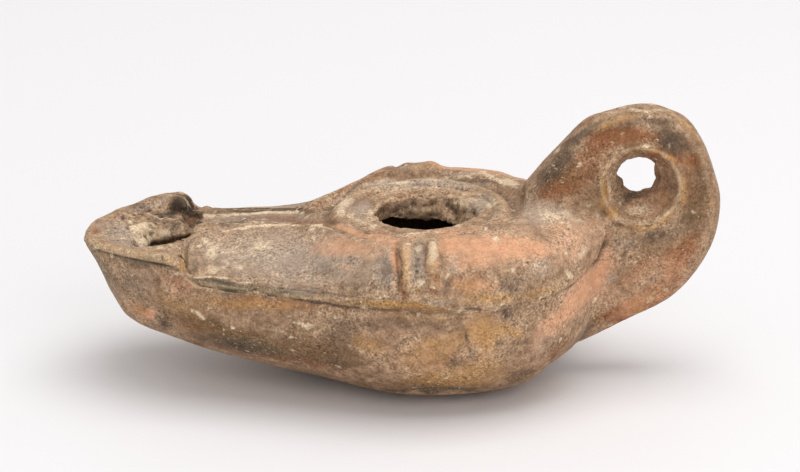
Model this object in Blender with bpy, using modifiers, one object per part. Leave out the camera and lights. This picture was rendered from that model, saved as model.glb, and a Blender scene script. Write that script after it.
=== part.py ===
"""A mould-made terracotta oil lamp with a pierced handle, as one hollow clay solid.

Metres, +Z up. The lamp stands on its flat base with the origin at the base's centre, the nozzle
points to -X and the handle to +X. The outer form, the handle and the oil chamber are lofts of
half sections along X, mirrored across the plane Y = 0, as the mould was symmetric.
"""

import math

import bmesh
import bpy

# Body, in plan round the base's centre.
BODY_RADIUS = 0.0297
BODY_BACK_REACH = 0.0315
BACK_FULLNESS = 2.25
WALL = 0.0040

# Bowl, below the seam of the mould, with the base's depth that is cut off flat.
SEAM_HEIGHT = 0.0214
SEAM_SLOPE = 0.020
BASE_DROP = 0.0008
BOWL_FULLNESS = 2.8
BOWL_END_FULLNESS = 3.1

# Shoulder, above the seam, and where it turns into the nozzle's roof.
CROWN_RISE = 0.0108
CROWN_HEIGHT = SEAM_HEIGHT + CROWN_RISE
SHOULDER_FULLNESS = 3.8
SHOULDER_END_FULLNESS = 3.4
SHOULDER_START = 0.0020
SHOULDER_END = 0.0205

# Nozzle: low straight sides under a roof with a flat channel on its ridge.
NOZZLE_REACH = 0.0606
HEAD_LENGTH = 0.0166
NOZZLE_CORNER = NOZZLE_REACH - HEAD_LENGTH
NOZZLE_HALF_WIDTH = 0.0189
NOZZLE_FULLNESS = 2.2
EAVES_RISE = 0.0012
EAVES_HEIGHT = SEAM_HEIGHT + EAVES_RISE
EAVES_LEAN = 0.0006
ROOF_RISE = 0.0059
CHANNEL_HEIGHT = EAVES_HEIGHT + ROOF_RISE
CHANNEL_HALF_WIDTH = 0.0027
CHANNEL_RAMP = 0.0068
NECK_LENGTH = 0.0050

# Nozzle head: a level rim round the wick hole, on a keel that rises to a straight bow.
RIM_DROP = 0.0009
RIM_HEIGHT = CHANNEL_HEIGHT - RIM_DROP
RIM_DEPTH = 0.0013
TIP_DROP = 0.0015
TIP_HEIGHT = RIM_HEIGHT - TIP_DROP
KEEL_RISE = 0.0100
KEEL_FULLNESS = 1.7
BOW_LENGTH = 0.0080

# Chamber: a thicker wall behind the nozzle's tip, and a roof that follows the nozzle's.
TIP_WALL_SHARE = 1.5
CHAMBER_ROOF_FULLNESS = 1.6

# Seam: the upper half of the mould overhangs the lower one.
SEAM_OVERHANG = 0.0007

# Raised panel on each side of the nozzle, and the pair of ridges beside the filling hole.
PANEL_START = 0.0035
PANEL_RELIEF = 0.0007
PANEL_EDGE = 0.0007
RIDGE_WIDTH = 0.0021
RIDGE_SPACING = 0.0047
RIDGE_RELIEF = 0.0010
RIDGE_TOP_SHARE = 0.3
RIDGE_FOOT_SHARE = 0.6
RIDGE_FLOOR_SHARE = 0.5
LUG_MARGIN = 0.0010

# Discus: a sunk disc inside a ring, drooping towards the nozzle.
RING_RADIUS = 0.0157
RING_SINK = 0.0012
RING_HEIGHT = CROWN_HEIGHT - RING_SINK
RING_WIDTH = 0.0030
GROOVE_DEPTH = 0.0009
DISCUS_SINK = 0.0013
DISCUS_DROOP = 0.0014

# Broken filling hole, leaning towards the nozzle, and worn wick hole.
FILLING_HOLE_RADIUS = 0.0092
FILLING_HOLE_OFFSET = 0.0013
FILLING_HOLE_LEAN = 0.0022
WICK_HOLE_SETBACK = 0.0155
WICK_HOLE_HALF_LENGTH = 0.0055
WICK_HOLE_HALF_WIDTH = 0.0112
WICK_HOLE_DEPTH = 0.0085
WICK_HOLE_SKEW = math.radians(-20)
WICK_HOLE_LEAN = math.radians(-18)
WICK_DISH_SETBACK = 0.0115
WICK_DISH_HALF_LENGTH = 0.0095
WICK_DISH_HALF_WIDTH = 0.0118
WICK_DISH_DEPTH = 0.0016

# Pierced handle: a thick upright disc on a root that grows out of the body.
HANDLE_STANDOFF = 0.0091
HANDLE_CENTRE_X = BODY_BACK_REACH + HANDLE_STANDOFF
HANDLE_LIFT = 0.0011
HANDLE_CENTRE_Z = RING_HEIGHT + HANDLE_LIFT
HANDLE_FRONT = 0.0138
HANDLE_BACK = 0.0190
HANDLE_RISE = 0.0178
HANDLE_DROP = 0.0203
HANDLE_TOP_FULLNESS = 1.75
HANDLE_UNDER_FULLNESS = 1.6
HANDLE_LOWEST_SHARE = 0.17
HANDLE_HALF_THICKNESS = 0.0066
HANDLE_EDGE_FULLNESS = 3.4
HANDLE_ROOT_SWELL = 0.0020
HANDLE_ROOT_DEPTH = 0.0175
HANDLE_ROOT_LENGTH = 0.0210
HANDLE_ROOT_START = BODY_BACK_REACH - HANDLE_ROOT_DEPTH
HANDLE_TOP_SLOPE = math.radians(51)
HANDLE_UNDER_SLOPE = math.radians(27)

# Finger hole, in front of the handle's centre and above it.
FINGER_HOLE_FORWARD = 0.0016
FINGER_HOLE_LIFT = 0.0046
FINGER_HOLE_THROAT = 0.0043
FINGER_HOLE_LIP = 0.0072
FINGER_HOLE_FLARE_SHARE = 0.55
FINGER_HOLE_FLARE_DEPTH = 0.62

# Saddle: the shoulder runs on into the handle, and its lower edge climbs the handle's side.
SADDLE_SINK = 0.0016
SADDLE_TUCK = 0.0004
SADDLE_FULLNESS = 2.6
SADDLE_SWEEP = 1.7
CREASE_SETBACK = 0.0085
CREASE_LENGTH = 0.0120
CREASE_RISE = 0.0095
CREASE_STEEPNESS = 2.2
CREASE_OVERHANG = 0.0007
FLARE_RISE = 0.0030
FLARE_LENGTH = 0.0045
FLARE_MARGIN = 0.0016

TERRACOTTA = (0.36, 0.19, 0.10, 1.0)
ROUGHNESS = 0.85

# How finely the forms are divided.
MIRROR_MERGE = 0.00002
ARC_SAMPLES = 90
EAVES_SHARE = 0.20
CHANNEL_SHARE = 0.76
BOWL_STEPS = 10
UPPER_SHARES = [0.07, 0.14, EAVES_SHARE, 0.23, 0.28, 0.34, 0.41, 0.49, 0.58, 0.67]
UPPER_SHARES += [CHANNEL_SHARE - 0.02, CHANNEL_SHARE + 0.02, 0.88, 1.0]
CHAMBER_STEPS = 7
HANDLE_STEPS = 8
SADDLE_STEPS = 12
DISCUS_STEPS = 44
FINGER_HOLE_STEPS = 28
SHARP_ANGLE = math.radians(35)


def blend(low, high, share):
    return low + (high - low) * share


def smoothstep(start, end, value):
    share = min(1.0, max(0.0, (value - start) / (end - start)))
    return share * share * (3 - 2 * share)


def quarter(share, fullness):
    """Height of a superellipse's quarter, 1 at share 0 and 0 at share 1."""
    share = min(1.0, max(0.0, share))
    return (1 - share**fullness) ** (1 / fullness)


def quarter_arc(half_span, height, fullness):
    """Superellipse from (half_span, 0) to (0, height), as a function of the share of its length."""
    points = []
    for i in range(ARC_SAMPLES + 1):
        angle = math.pi / 2 * i / ARC_SAMPLES
        across = max(0.0, math.cos(angle)) ** (2 / fullness)
        up = math.sin(angle) ** (2 / fullness)
        points.append((half_span * across, height * up))
    lengths = [0.0]
    for (y0, z0), (y1, z1) in zip(points, points[1:]):
        lengths.append(lengths[-1] + math.hypot(y1 - y0, z1 - z0))

    def at(share):
        wanted = share * lengths[-1]
        k = 1
        while k < ARC_SAMPLES and lengths[k] < wanted:
            k += 1
        span = lengths[k] - lengths[k - 1]
        part = (wanted - lengths[k - 1]) / span if span else 0.0
        (y0, z0), (y1, z1) = points[k - 1], points[k]
        return blend(y0, y1, part), blend(z0, z1, part)

    return at


def eased(start, end, count, ease_start=False, ease_end=False):
    """Stations from start to end, closer together at an eased end."""
    stations = []
    for i in range(count + 1):
        share = i / count
        if ease_start:
            share = 1 - math.cos(math.pi / 2 * share)
        elif ease_end:
            share = math.sin(math.pi / 2 * share)
        stations.append(blend(start, end, share))
    return stations


# Outlines of the outer form along X, each also usable one wall further in.
def half_width(x, inset=0.0):
    """Half of the plan width: parabolic nozzle head, straight flank, round body."""
    radius = BODY_RADIUS - inset
    if x > 0:
        return radius * quarter(x / (BODY_BACK_REACH - inset), BACK_FULLNESS)
    distance = math.hypot(NOZZLE_CORNER, NOZZLE_HALF_WIDTH)
    square = math.atan2(NOZZLE_HALF_WIDTH, -NOZZLE_CORNER) - math.acos(BODY_RADIUS / distance)
    touch_x, touch_y = radius * math.cos(square), radius * math.sin(square)
    if x > touch_x:
        return math.sqrt(radius**2 - x**2)
    corner_x = -NOZZLE_CORNER - inset * math.cos(square)
    corner_y = NOZZLE_HALF_WIDTH - inset * math.sin(square)
    if x > corner_x:
        return blend(corner_y, touch_y, (x - corner_x) / (touch_x - corner_x))
    tip_x = -NOZZLE_REACH + TIP_WALL_SHARE * inset
    return corner_y * math.sqrt(max(0.0, (x - tip_x) / (corner_x - tip_x)))


def on_head(x):
    """1 on the nozzle's head and 0 behind its neck."""
    return smoothstep(NECK_LENGTH, 0.0, x + NOZZLE_CORNER)


def along_head(x):
    """0 at the nozzle's tip and 1 where its head is widest."""
    return min(1.0, max(0.0, (x + NOZZLE_REACH) / (NOZZLE_REACH - NOZZLE_CORNER)))


def rim_height(x):
    return blend(TIP_HEIGHT, RIM_HEIGHT, math.sin(math.pi / 2 * along_head(x)))


def seam_height(x):
    """The seam is nearly level round the body and climbs to the rim at the nozzle's neck."""
    return blend(SEAM_HEIGHT - SEAM_SLOPE * x, rim_height(x) - RIM_DEPTH, on_head(x))


def crown_height(x):
    """Top of the centre line: rim, channel, then the crown that the discus is cut from."""
    if x > 0:
        seam = seam_height(x)
        return seam + (CROWN_HEIGHT - seam) * quarter(x / BODY_BACK_REACH, SHOULDER_END_FULLNESS)
    channel = blend(CHANNEL_HEIGHT, rim_height(x), on_head(x))
    return blend(CROWN_HEIGHT, channel, smoothstep(RING_RADIUS, RING_RADIUS + CHANNEL_RAMP, -x))


def keel_height(x):
    """Underside of the centre line: full bowl, a gently rising keel, then the bow."""
    if x > 0:
        seam = seam_height(x)
        return seam - (seam + BASE_DROP) * quarter(x / BODY_BACK_REACH, BOWL_END_FULLNESS)
    forefoot = NOZZLE_REACH - BOW_LENGTH
    if -x < forefoot:
        return blend(-BASE_DROP, KEEL_RISE, (-x / forefoot) ** KEEL_FULLNESS)
    return blend(KEEL_RISE, TIP_HEIGHT - RIM_DEPTH, (-x - forefoot) / BOW_LENGTH)


def on_nozzle(x):
    """0 at the body's round shoulder and 1 where the nozzle's roof begins."""
    return smoothstep(SHOULDER_START, SHOULDER_END, -x)


def roof(x, share):
    """A point of the nozzle's upper section: side, roof slope and flat channel."""
    width, seam, crown = half_width(x), seam_height(x), crown_height(x)
    eaves = blend(EAVES_HEIGHT, rim_height(x), on_head(x))
    channel = min(CHANNEL_HALF_WIDTH, width)
    if share < EAVES_SHARE:
        part = share / EAVES_SHARE
        return width - min(EAVES_LEAN, width) * part, blend(seam, eaves, part)
    if share < CHANNEL_SHARE:
        part = (share - EAVES_SHARE) / (CHANNEL_SHARE - EAVES_SHARE)
        return blend(max(channel, width - EAVES_LEAN), channel, part), blend(eaves, crown, part)
    return blend(channel, 0.0, (share - CHANNEL_SHARE) / (1 - CHANNEL_SHARE)), crown


def upper_curve(x):
    """The upper section without relief, as a function of the share from the seam to the crown."""
    seam = seam_height(x)
    shoulder = quarter_arc(half_width(x), crown_height(x) - seam, SHOULDER_FULLNESS)

    def at(share):
        y_body, rise = shoulder(share)
        y_roof, z_roof = roof(x, share)
        return blend(y_body, y_roof, on_nozzle(x)), blend(seam + rise, z_roof, on_nozzle(x))

    return at


def panel_ends():
    """X of the panel's two ends: behind the nozzle's neck, and just before the ridges."""
    ridge_start = -(RIDGE_SPACING + RIDGE_WIDTH) / 2
    return PANEL_START - NOZZLE_CORNER, ridge_start - LUG_MARGIN


def relief(x, share):
    """Height of the panel and of the two ridges over the plain surface."""
    start, end = panel_ends()
    panel = smoothstep(start, start + PANEL_EDGE, x) * smoothstep(end, end - PANEL_EDGE, x)
    if not EAVES_SHARE < share < CHANNEL_SHARE:
        panel = 0.0
    ridge = 0.0
    for side in (-1, 1):
        offset = abs(x - side * RIDGE_SPACING / 2) / RIDGE_WIDTH
        ridge = max(ridge, 1 - smoothstep(RIDGE_TOP_SHARE, RIDGE_FOOT_SHARE, offset))
    if abs(x) < RIDGE_SPACING / 2:
        ridge = max(ridge, RIDGE_FLOOR_SHARE)
    ridge *= smoothstep(0.0, 0.07, share) - smoothstep(0.5, 0.7, share)
    return max(PANEL_RELIEF * panel, RIDGE_RELIEF * ridge)


def crease_share(x):
    """0 where the seam starts to climb from the bowl and 1 where it ends, on the handle."""
    return min(1.0, max(0.0, (x - BODY_BACK_REACH + CREASE_SETBACK) / CREASE_LENGTH))


def outer_section(x):
    """Half section of the outer form from the keel up to the crown, as (y, z) points."""
    width, seam = half_width(x), seam_height(x)
    fullness = blend(BOWL_FULLNESS, NOZZLE_FULLNESS, on_nozzle(x))
    overhang = min(SEAM_OVERHANG, 0.2 * width) * smoothstep(0.25, 0.0, crease_share(x))
    bowl = quarter_arc(width - overhang, seam - keel_height(x), fullness)
    points = []
    for i in range(BOWL_STEPS, -1, -1):
        y, drop = bowl(i / BOWL_STEPS)
        points.append((y, seam - drop))
    upper = upper_curve(x)
    points.append(upper(0.0))
    for share in UPPER_SHARES:
        y, z = upper(share)
        y_before, z_before = upper(max(0.0, share - 0.02))
        y_after, z_after = upper(min(1.0, share + 0.02))
        run, climb = y_before - y_after, z_after - z_before
        length = math.hypot(run, climb) or 1.0
        raised = relief(x, share)
        if share < 1:
            y += raised * climb / length
        points.append((y, z + raised * run / length))
    return points


def chamber_section(x):
    """Half section of the oil chamber, one wall inside the outer form."""
    width = half_width(x, WALL)
    reach = BODY_BACK_REACH - WALL
    ceiling = RING_HEIGHT - DISCUS_SINK - WALL
    seam = min(seam_height(x), SEAM_HEIGHT)
    if x > 0:
        top = seam + (ceiling - seam) * quarter(x / reach, SHOULDER_END_FULLNESS)
        floor = seam - (seam - WALL) * quarter(x / reach, BOWL_END_FULLNESS)
    else:
        top = min(ceiling, crown_height(x) - WALL)
        floor = min(top, max(0.0, keel_height(x)) + WALL)
        seam = blend(seam, (top + floor) / 2, on_nozzle(x))
    lower = quarter_arc(width, seam - floor, blend(BOWL_FULLNESS, NOZZLE_FULLNESS, on_nozzle(x)))
    roundness = blend(SHOULDER_FULLNESS, CHAMBER_ROOF_FULLNESS, on_nozzle(x))
    upper = quarter_arc(width, top - seam, roundness)
    points = []
    for i in range(CHAMBER_STEPS, -1, -1):
        y, drop = lower(i / CHAMBER_STEPS)
        points.append((y, seam - drop))
    for i in range(1, CHAMBER_STEPS + 1):
        y, rise = upper(i / CHAMBER_STEPS)
        points.append((y, seam + rise))
    return points


def handle_top(x):
    """Top of the handle's outline: two quarter ellipses and a straight slope to the body."""
    offset = x - HANDLE_CENTRE_X
    if offset > 0:
        return HANDLE_CENTRE_Z + HANDLE_RISE * quarter(offset / HANDLE_FRONT, HANDLE_TOP_FULLNESS)
    slope = math.tan(HANDLE_TOP_SLOPE)
    steep = slope * HANDLE_BACK / HANDLE_RISE
    touch = -HANDLE_BACK * steep / math.hypot(1.0, steep)
    arc = HANDLE_CENTRE_Z + HANDLE_RISE * quarter(-max(offset, touch) / HANDLE_BACK, 2.0)
    return arc + slope * min(0.0, offset - touch)


def handle_underside(x):
    """Bottom of the handle's outline: a quarter of a superellipse, then a straight slope."""
    touch = HANDLE_CENTRE_X + HANDLE_LOWEST_SHARE * HANDLE_FRONT
    share = (max(x, touch) - HANDLE_CENTRE_X) / HANDLE_FRONT
    arc = HANDLE_CENTRE_Z - HANDLE_DROP * quarter(share, HANDLE_UNDER_FULLNESS)
    return arc - math.tan(HANDLE_UNDER_SLOPE) * max(0.0, touch - x)


def handle_section(x):
    """Half section of the handle from its underside to its top, with rounded edges."""
    top, bottom = handle_top(x), handle_underside(x)
    middle, half_height = (top + bottom) / 2, (top - bottom) / 2
    swell = HANDLE_ROOT_SWELL * smoothstep(HANDLE_ROOT_LENGTH, 0.0, x - HANDLE_ROOT_START)
    from_end = (HANDLE_CENTRE_X + HANDLE_FRONT - x) / HANDLE_HALF_THICKNESS
    half_thickness = (HANDLE_HALF_THICKNESS + swell) * quarter(1 - from_end, 2.0)
    arc = quarter_arc(half_thickness, half_height, HANDLE_EDGE_FULLNESS)
    points = []
    for i in range(-HANDLE_STEPS, HANDLE_STEPS + 1):
        y, rise = arc(abs(i) / HANDLE_STEPS)
        points.append((y, middle + math.copysign(rise, i)))
    return points


def saddle_section(x):
    """Half section of the shoulder that runs on into the handle, hollowed against its side."""
    share = crease_share(x)
    start = BODY_BACK_REACH - CREASE_SETBACK
    low = seam_height(min(x, start)) + CREASE_RISE * share**CREASE_STEEPNESS
    swept = blend(HANDLE_HALF_THICKNESS, half_width(start), (1 - share) ** SADDLE_SWEEP)
    width = swept if x > start and swept > half_width(x) else half_width(x)
    width += blend(-SADDLE_TUCK, CREASE_OVERHANG, smoothstep(start, BODY_BACK_REACH, x))
    height = CROWN_HEIGHT - SADDLE_SINK - low
    flare = max(0.0, min(FLARE_RISE, handle_top(x) - low - height - FLARE_MARGIN))
    arc = quarter_arc(width, height, SADDLE_FULLNESS)
    points = [(0.0, low)]
    for i in range(SADDLE_STEPS + 1):
        y, rise = arc(i / SADDLE_STEPS)
        beside = max(0.0, y - HANDLE_HALF_THICKNESS) / FLARE_LENGTH
        points.append((y, low + rise + flare * math.exp(-beside) * rise / height))
    return points


def outer_stations():
    start, end = panel_ends()
    stations = eased(-NOZZLE_REACH, -NOZZLE_CORNER, 8, ease_start=True)
    stations += eased(-NOZZLE_CORNER, start, 3)[1:]
    stations += eased(start + PANEL_EDGE, end - PANEL_EDGE, 12)
    stations.append(end)
    foot, edge = 1.03 * RIDGE_FOOT_SHARE, 1.2 * RIDGE_TOP_SHARE
    for side in (-1, 1):
        for offset in (-foot, -edge, 0.0, edge, foot):
            stations.append(side * RIDGE_SPACING / 2 + offset * RIDGE_WIDTH)
    stations += eased(stations[-1], BODY_BACK_REACH, 11, ease_end=True)[1:]
    return stations


def chamber_stations():
    stations = eased(-NOZZLE_REACH + TIP_WALL_SHARE * WALL, 0.0, 14, ease_start=True)
    return stations + eased(0.0, BODY_BACK_REACH - WALL, 8, ease_end=True)[1:]


def handle_stations():
    end = HANDLE_CENTRE_X + HANDLE_FRONT
    stations = eased(HANDLE_ROOT_START, HANDLE_CENTRE_X, 8)
    return stations + eased(HANDLE_CENTRE_X, end, 10, ease_end=True)[1:]


def saddle_stations():
    end = BODY_BACK_REACH - CREASE_SETBACK + CREASE_LENGTH
    return eased(HANDLE_ROOT_START, end, 14, ease_end=True)


# Blender objects.
def clear_scene():
    for obj in list(bpy.data.objects):
        bpy.data.objects.remove(obj)


def collection(name):
    made = bpy.data.collections.new(name)
    bpy.context.scene.collection.children.link(made)
    return made


def place(name, bm, home):
    mesh = bpy.data.meshes.new(name)
    bm.to_mesh(mesh)
    bm.free()
    obj = bpy.data.objects.new(name, mesh)
    home.objects.link(obj)
    return obj


def loft(name, stations, section, home):
    """Half a form, open at the plane Y = 0, with flat ends, and its mirror image."""
    bm = bmesh.new()
    rings = []
    for x in stations:
        rings.append([bm.verts.new((x, y, z)) for y, z in section(x)])
    for ring, following in zip(rings, rings[1:]):
        for a, b, c, d in zip(ring, ring[1:], following[1:], following):
            bm.faces.new((a, b, c, d))
    bm.faces.new(reversed(rings[0]))
    bm.faces.new(rings[-1])
    bmesh.ops.remove_doubles(bm, verts=bm.verts, dist=1e-6)
    bmesh.ops.dissolve_degenerate(bm, edges=bm.edges, dist=1e-7)
    obj = place(name, bm, home)
    mirror = obj.modifiers.new("Mirror halves", "MIRROR")
    mirror.use_axis = (False, True, False)
    mirror.merge_threshold = MIRROR_MERGE
    return obj


def turned(name, profile, steps, home):
    """A profile of (radius, height) points, from top to bottom, turned about Z."""
    bm = bmesh.new()
    verts = [bm.verts.new((radius, 0.0, height)) for radius, height in profile]
    for first, second in zip(verts, verts[1:]):
        bm.edges.new((first, second))
    obj = place(name, bm, home)
    screw = obj.modifiers.new("Turn", "SCREW")
    screw.axis = "Z"
    screw.steps = screw.render_steps = steps
    screw.use_merge_vertices = True
    screw.merge_threshold = 0.00001
    return obj


def combine(body, other, operation):
    other.hide_render = True
    other.display_type = "WIRE"
    modifier = body.modifiers.new(operation.title() + " " + other.name, "BOOLEAN")
    modifier.operation = operation
    modifier.solver = "EXACT"
    modifier.object = other


def discus_cutter(home):
    """Clears the top down to the ring, its outer groove and the sunk disc inside it."""
    clearance = 0.0150
    half = RING_WIDTH / 2
    profile = [
        (0.0, clearance),
        (RING_RADIUS + 2.8 * half, clearance),
        (RING_RADIUS + 2.0 * half, -0.1 * GROOVE_DEPTH),
        (RING_RADIUS + 1.3 * half, -GROOVE_DEPTH),
        (RING_RADIUS + 0.5 * half, -0.15 * GROOVE_DEPTH),
        (RING_RADIUS, 0.0),
        (RING_RADIUS - 0.5 * half, -0.2 * GROOVE_DEPTH),
        (RING_RADIUS - 1.5 * half, -DISCUS_SINK),
        (RING_RADIUS - 2.4 * half, -0.75 * DISCUS_SINK),
        (0.0, -0.75 * DISCUS_SINK),
    ]
    straight = turned("discus_profile", profile, DISCUS_STEPS, home)
    bpy.context.view_layer.update()
    evaluated = straight.evaluated_get(bpy.context.evaluated_depsgraph_get())
    mesh = bpy.data.meshes.new_from_object(evaluated)
    bpy.data.objects.remove(straight)
    for vert in mesh.vertices:
        sag = smoothstep(-0.3 * RING_RADIUS, 1.3 * RING_RADIUS, -vert.co.x)
        vert.co.z -= DISCUS_DROOP * sag
    cutter = bpy.data.objects.new("discus_cutter", mesh)
    cutter.location = (0.0, 0.0, RING_HEIGHT)
    home.objects.link(cutter)
    return cutter


def filling_hole_cutter(home):
    """The broken, uneven filling hole, through the discus and down into the chamber."""
    reach = 2 * WALL
    bm = bmesh.new()
    bmesh.ops.create_cone(bm, cap_ends=True, segments=26, radius1=1, radius2=1, depth=2 * reach)
    for vert in bm.verts:
        angle = math.atan2(vert.co.y, vert.co.x)
        ragged = 1 + 0.045 * math.sin(3 * angle + 0.6) + 0.035 * math.sin(5 * angle + 2.1)
        ragged += 0.02 * math.sin(11 * angle)
        taper = 1 + 0.10 * vert.co.z / reach
        vert.co.x *= FILLING_HOLE_RADIUS * ragged * taper
        vert.co.y *= FILLING_HOLE_RADIUS * ragged * taper
        vert.co.x += FILLING_HOLE_LEAN * vert.co.z / WALL
    cutter = place("filling_hole_cutter", bm, home)
    cutter.location = (FILLING_HOLE_OFFSET, 0.0, RING_HEIGHT - DISCUS_SINK)
    return cutter


def ball_cutter(name, centre, radii, home):
    bm = bmesh.new()
    bmesh.ops.create_uvsphere(bm, u_segments=24, v_segments=14, radius=1.0)
    for vert in bm.verts:
        vert.co.x *= radii[0]
        vert.co.y *= radii[1]
        vert.co.z *= radii[2]
    cutter = place(name, bm, home)
    cutter.location = centre
    return cutter


def wick_dish_cutter(home):
    """The shallow worn dish that takes up the top of the nozzle's head."""
    x = WICK_DISH_SETBACK - NOZZLE_REACH
    radii = (WICK_DISH_HALF_LENGTH, WICK_DISH_HALF_WIDTH, WICK_DISH_DEPTH)
    return ball_cutter("wick_dish_cutter", (x, 0.0, rim_height(x)), radii, home)


def wick_hole_cutter(home):
    """The deep hole at the dish's inner side, worn askew and leaning into the chamber."""
    x = WICK_HOLE_SETBACK - NOZZLE_REACH
    radii = (WICK_HOLE_HALF_LENGTH, WICK_HOLE_HALF_WIDTH, WICK_HOLE_DEPTH)
    centre = (x, 0.0, rim_height(x) - WICK_DISH_DEPTH)
    cutter = ball_cutter("wick_hole_cutter", centre, radii, home)
    cutter.rotation_euler = (0.0, WICK_HOLE_LEAN, WICK_HOLE_SKEW)
    return cutter


def finger_hole_cutter(home):
    """The hole through the handle, narrow in the middle and wide at both lips."""
    lip = HANDLE_HALF_THICKNESS
    far = HANDLE_HALF_THICKNESS + HANDLE_ROOT_SWELL + WALL
    flare = blend(FINGER_HOLE_THROAT, FINGER_HOLE_LIP, FINGER_HOLE_FLARE_SHARE)
    one_side = [
        (0.0, far),
        (FINGER_HOLE_LIP * 1.1, far),
        (FINGER_HOLE_LIP, lip),
        (flare, FINGER_HOLE_FLARE_DEPTH * lip),
        (FINGER_HOLE_THROAT, 0.2 * lip),
    ]
    profile = one_side + [(radius, -height) for radius, height in reversed(one_side)]
    cutter = turned("finger_hole_cutter", profile, FINGER_HOLE_STEPS, home)
    x, z = HANDLE_CENTRE_X - FINGER_HOLE_FORWARD, HANDLE_CENTRE_Z + FINGER_HOLE_LIFT
    cutter.location = (x, 0.0, z)
    cutter.rotation_euler = (math.pi / 2, 0.0, 0.0)
    return cutter


def base_cutter(home):
    """Takes off what lies below the ground, which leaves the flat base."""
    side = 2 * BODY_RADIUS
    depth = 4 * BASE_DROP
    bm = bmesh.new()
    bmesh.ops.create_cube(bm, size=1.0)
    for vert in bm.verts:
        vert.co.x *= side
        vert.co.y *= side
        vert.co.z *= depth
    cutter = place("base_cutter", bm, home)
    cutter.location = (0.0, 0.0, -depth / 2)
    return cutter


def clay():
    material = bpy.data.materials.new("terracotta")
    material.use_nodes = True
    shader = material.node_tree.nodes["Principled BSDF"]
    shader.inputs["Base Color"].default_value = TERRACOTTA
    shader.inputs["Roughness"].default_value = ROUGHNESS
    shader.inputs["Metallic"].default_value = 0.0
    return material


def build():
    clear_scene()
    lamp_home = collection("terracotta_oil_lamp")
    cutters = collection("cutters")
    lamp = loft("lamp", outer_stations(), outer_section, lamp_home)
    combine(lamp, loft("handle_form", handle_stations(), handle_section, cutters), "UNION")
    combine(lamp, loft("saddle_form", saddle_stations(), saddle_section, cutters), "UNION")
    combine(lamp, discus_cutter(cutters), "DIFFERENCE")
    combine(lamp, loft("chamber", chamber_stations(), chamber_section, cutters), "DIFFERENCE")
    for make in (filling_hole_cutter, wick_dish_cutter, wick_hole_cutter):
        combine(lamp, make(cutters), "DIFFERENCE")
    combine(lamp, finger_hole_cutter(cutters), "DIFFERENCE")
    combine(lamp, base_cutter(cutters), "DIFFERENCE")
    lamp.data.materials.append(clay())
    lamp.data.shade_smooth()
    lamp.data.set_sharp_from_angle(angle=SHARP_ANGLE)


build()
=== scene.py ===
import math

import bmesh
import bpy
import numpy as np
from mathutils import Euler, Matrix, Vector, kdtree


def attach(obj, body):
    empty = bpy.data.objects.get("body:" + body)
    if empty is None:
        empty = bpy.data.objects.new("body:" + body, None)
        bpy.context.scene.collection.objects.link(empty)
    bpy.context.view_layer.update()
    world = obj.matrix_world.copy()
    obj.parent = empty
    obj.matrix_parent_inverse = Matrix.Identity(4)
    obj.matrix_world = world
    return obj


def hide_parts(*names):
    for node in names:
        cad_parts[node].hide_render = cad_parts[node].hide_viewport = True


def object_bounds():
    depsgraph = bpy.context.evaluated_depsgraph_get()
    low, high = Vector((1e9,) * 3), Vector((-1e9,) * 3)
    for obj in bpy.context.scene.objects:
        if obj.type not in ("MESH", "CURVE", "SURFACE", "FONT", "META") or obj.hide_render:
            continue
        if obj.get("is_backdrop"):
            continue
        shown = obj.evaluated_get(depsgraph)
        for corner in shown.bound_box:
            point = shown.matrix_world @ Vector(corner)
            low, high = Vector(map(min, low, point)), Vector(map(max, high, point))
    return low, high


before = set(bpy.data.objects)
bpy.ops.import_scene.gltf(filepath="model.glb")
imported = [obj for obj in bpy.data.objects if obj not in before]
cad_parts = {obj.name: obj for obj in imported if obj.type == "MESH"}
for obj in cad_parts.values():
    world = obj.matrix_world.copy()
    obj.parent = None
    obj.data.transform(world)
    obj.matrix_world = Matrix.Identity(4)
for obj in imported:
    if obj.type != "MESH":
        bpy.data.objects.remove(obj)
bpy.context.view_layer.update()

# Camera
# A long lens looks at the lamp's side from a little above, as a studio camera on a low tripod
# does. Its height, distance and lens give the photograph's foreshortening.
VIEW_TARGET = Vector((-0.0036, 0.0, 0.0252))
VIEW_DISTANCE = 0.600
VIEW_ELEVATION = math.radians(19.0)
LENS = 150.0
SENSOR_WIDTH = 36.0

toward_camera = Vector((0.0, -math.cos(VIEW_ELEVATION), math.sin(VIEW_ELEVATION)))
camera = bpy.data.objects.new("studio_camera", bpy.data.cameras.new("studio_camera"))
camera.data.lens = LENS
camera.data.sensor_width = SENSOR_WIDTH
camera.location = VIEW_TARGET + VIEW_DISTANCE * toward_camera
camera.rotation_euler = (-toward_camera).to_track_quat("-Z", "Y").to_euler()
bpy.context.scene.collection.objects.link(camera)
bpy.context.scene.camera = camera
bpy.context.scene.view_settings.view_transform = "Standard"

# Studio light
# One wide soft box hangs over the lamp, a weaker one stands in front of it, and white walls
# fill the shadows, so the tops are bright, the sides are calm and the shadow is soft.
# Each box has its place and side in metres, and its power in watts.
SOFT_BOXES = {
    "overhead_soft_box": ((0.20, 0.02, 1.22), 1.00, 9.4),
    "front_soft_box": ((0.60, -1.30, 0.70), 1.20, 7.0),
}
ROOM_WHITE = "#ffffff"
ROOM_BRIGHTNESS = 0.58


def linear(code):
    """An sRGB hex colour as the linear RGBA that Blender's sockets take."""
    channels = [int(code[i:i + 2], 16) / 255 for i in (1, 3, 5)]
    return [c / 12.92 if c <= 0.04045 else ((c + 0.055) / 1.055) ** 2.4 for c in channels] + [1.0]


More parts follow.
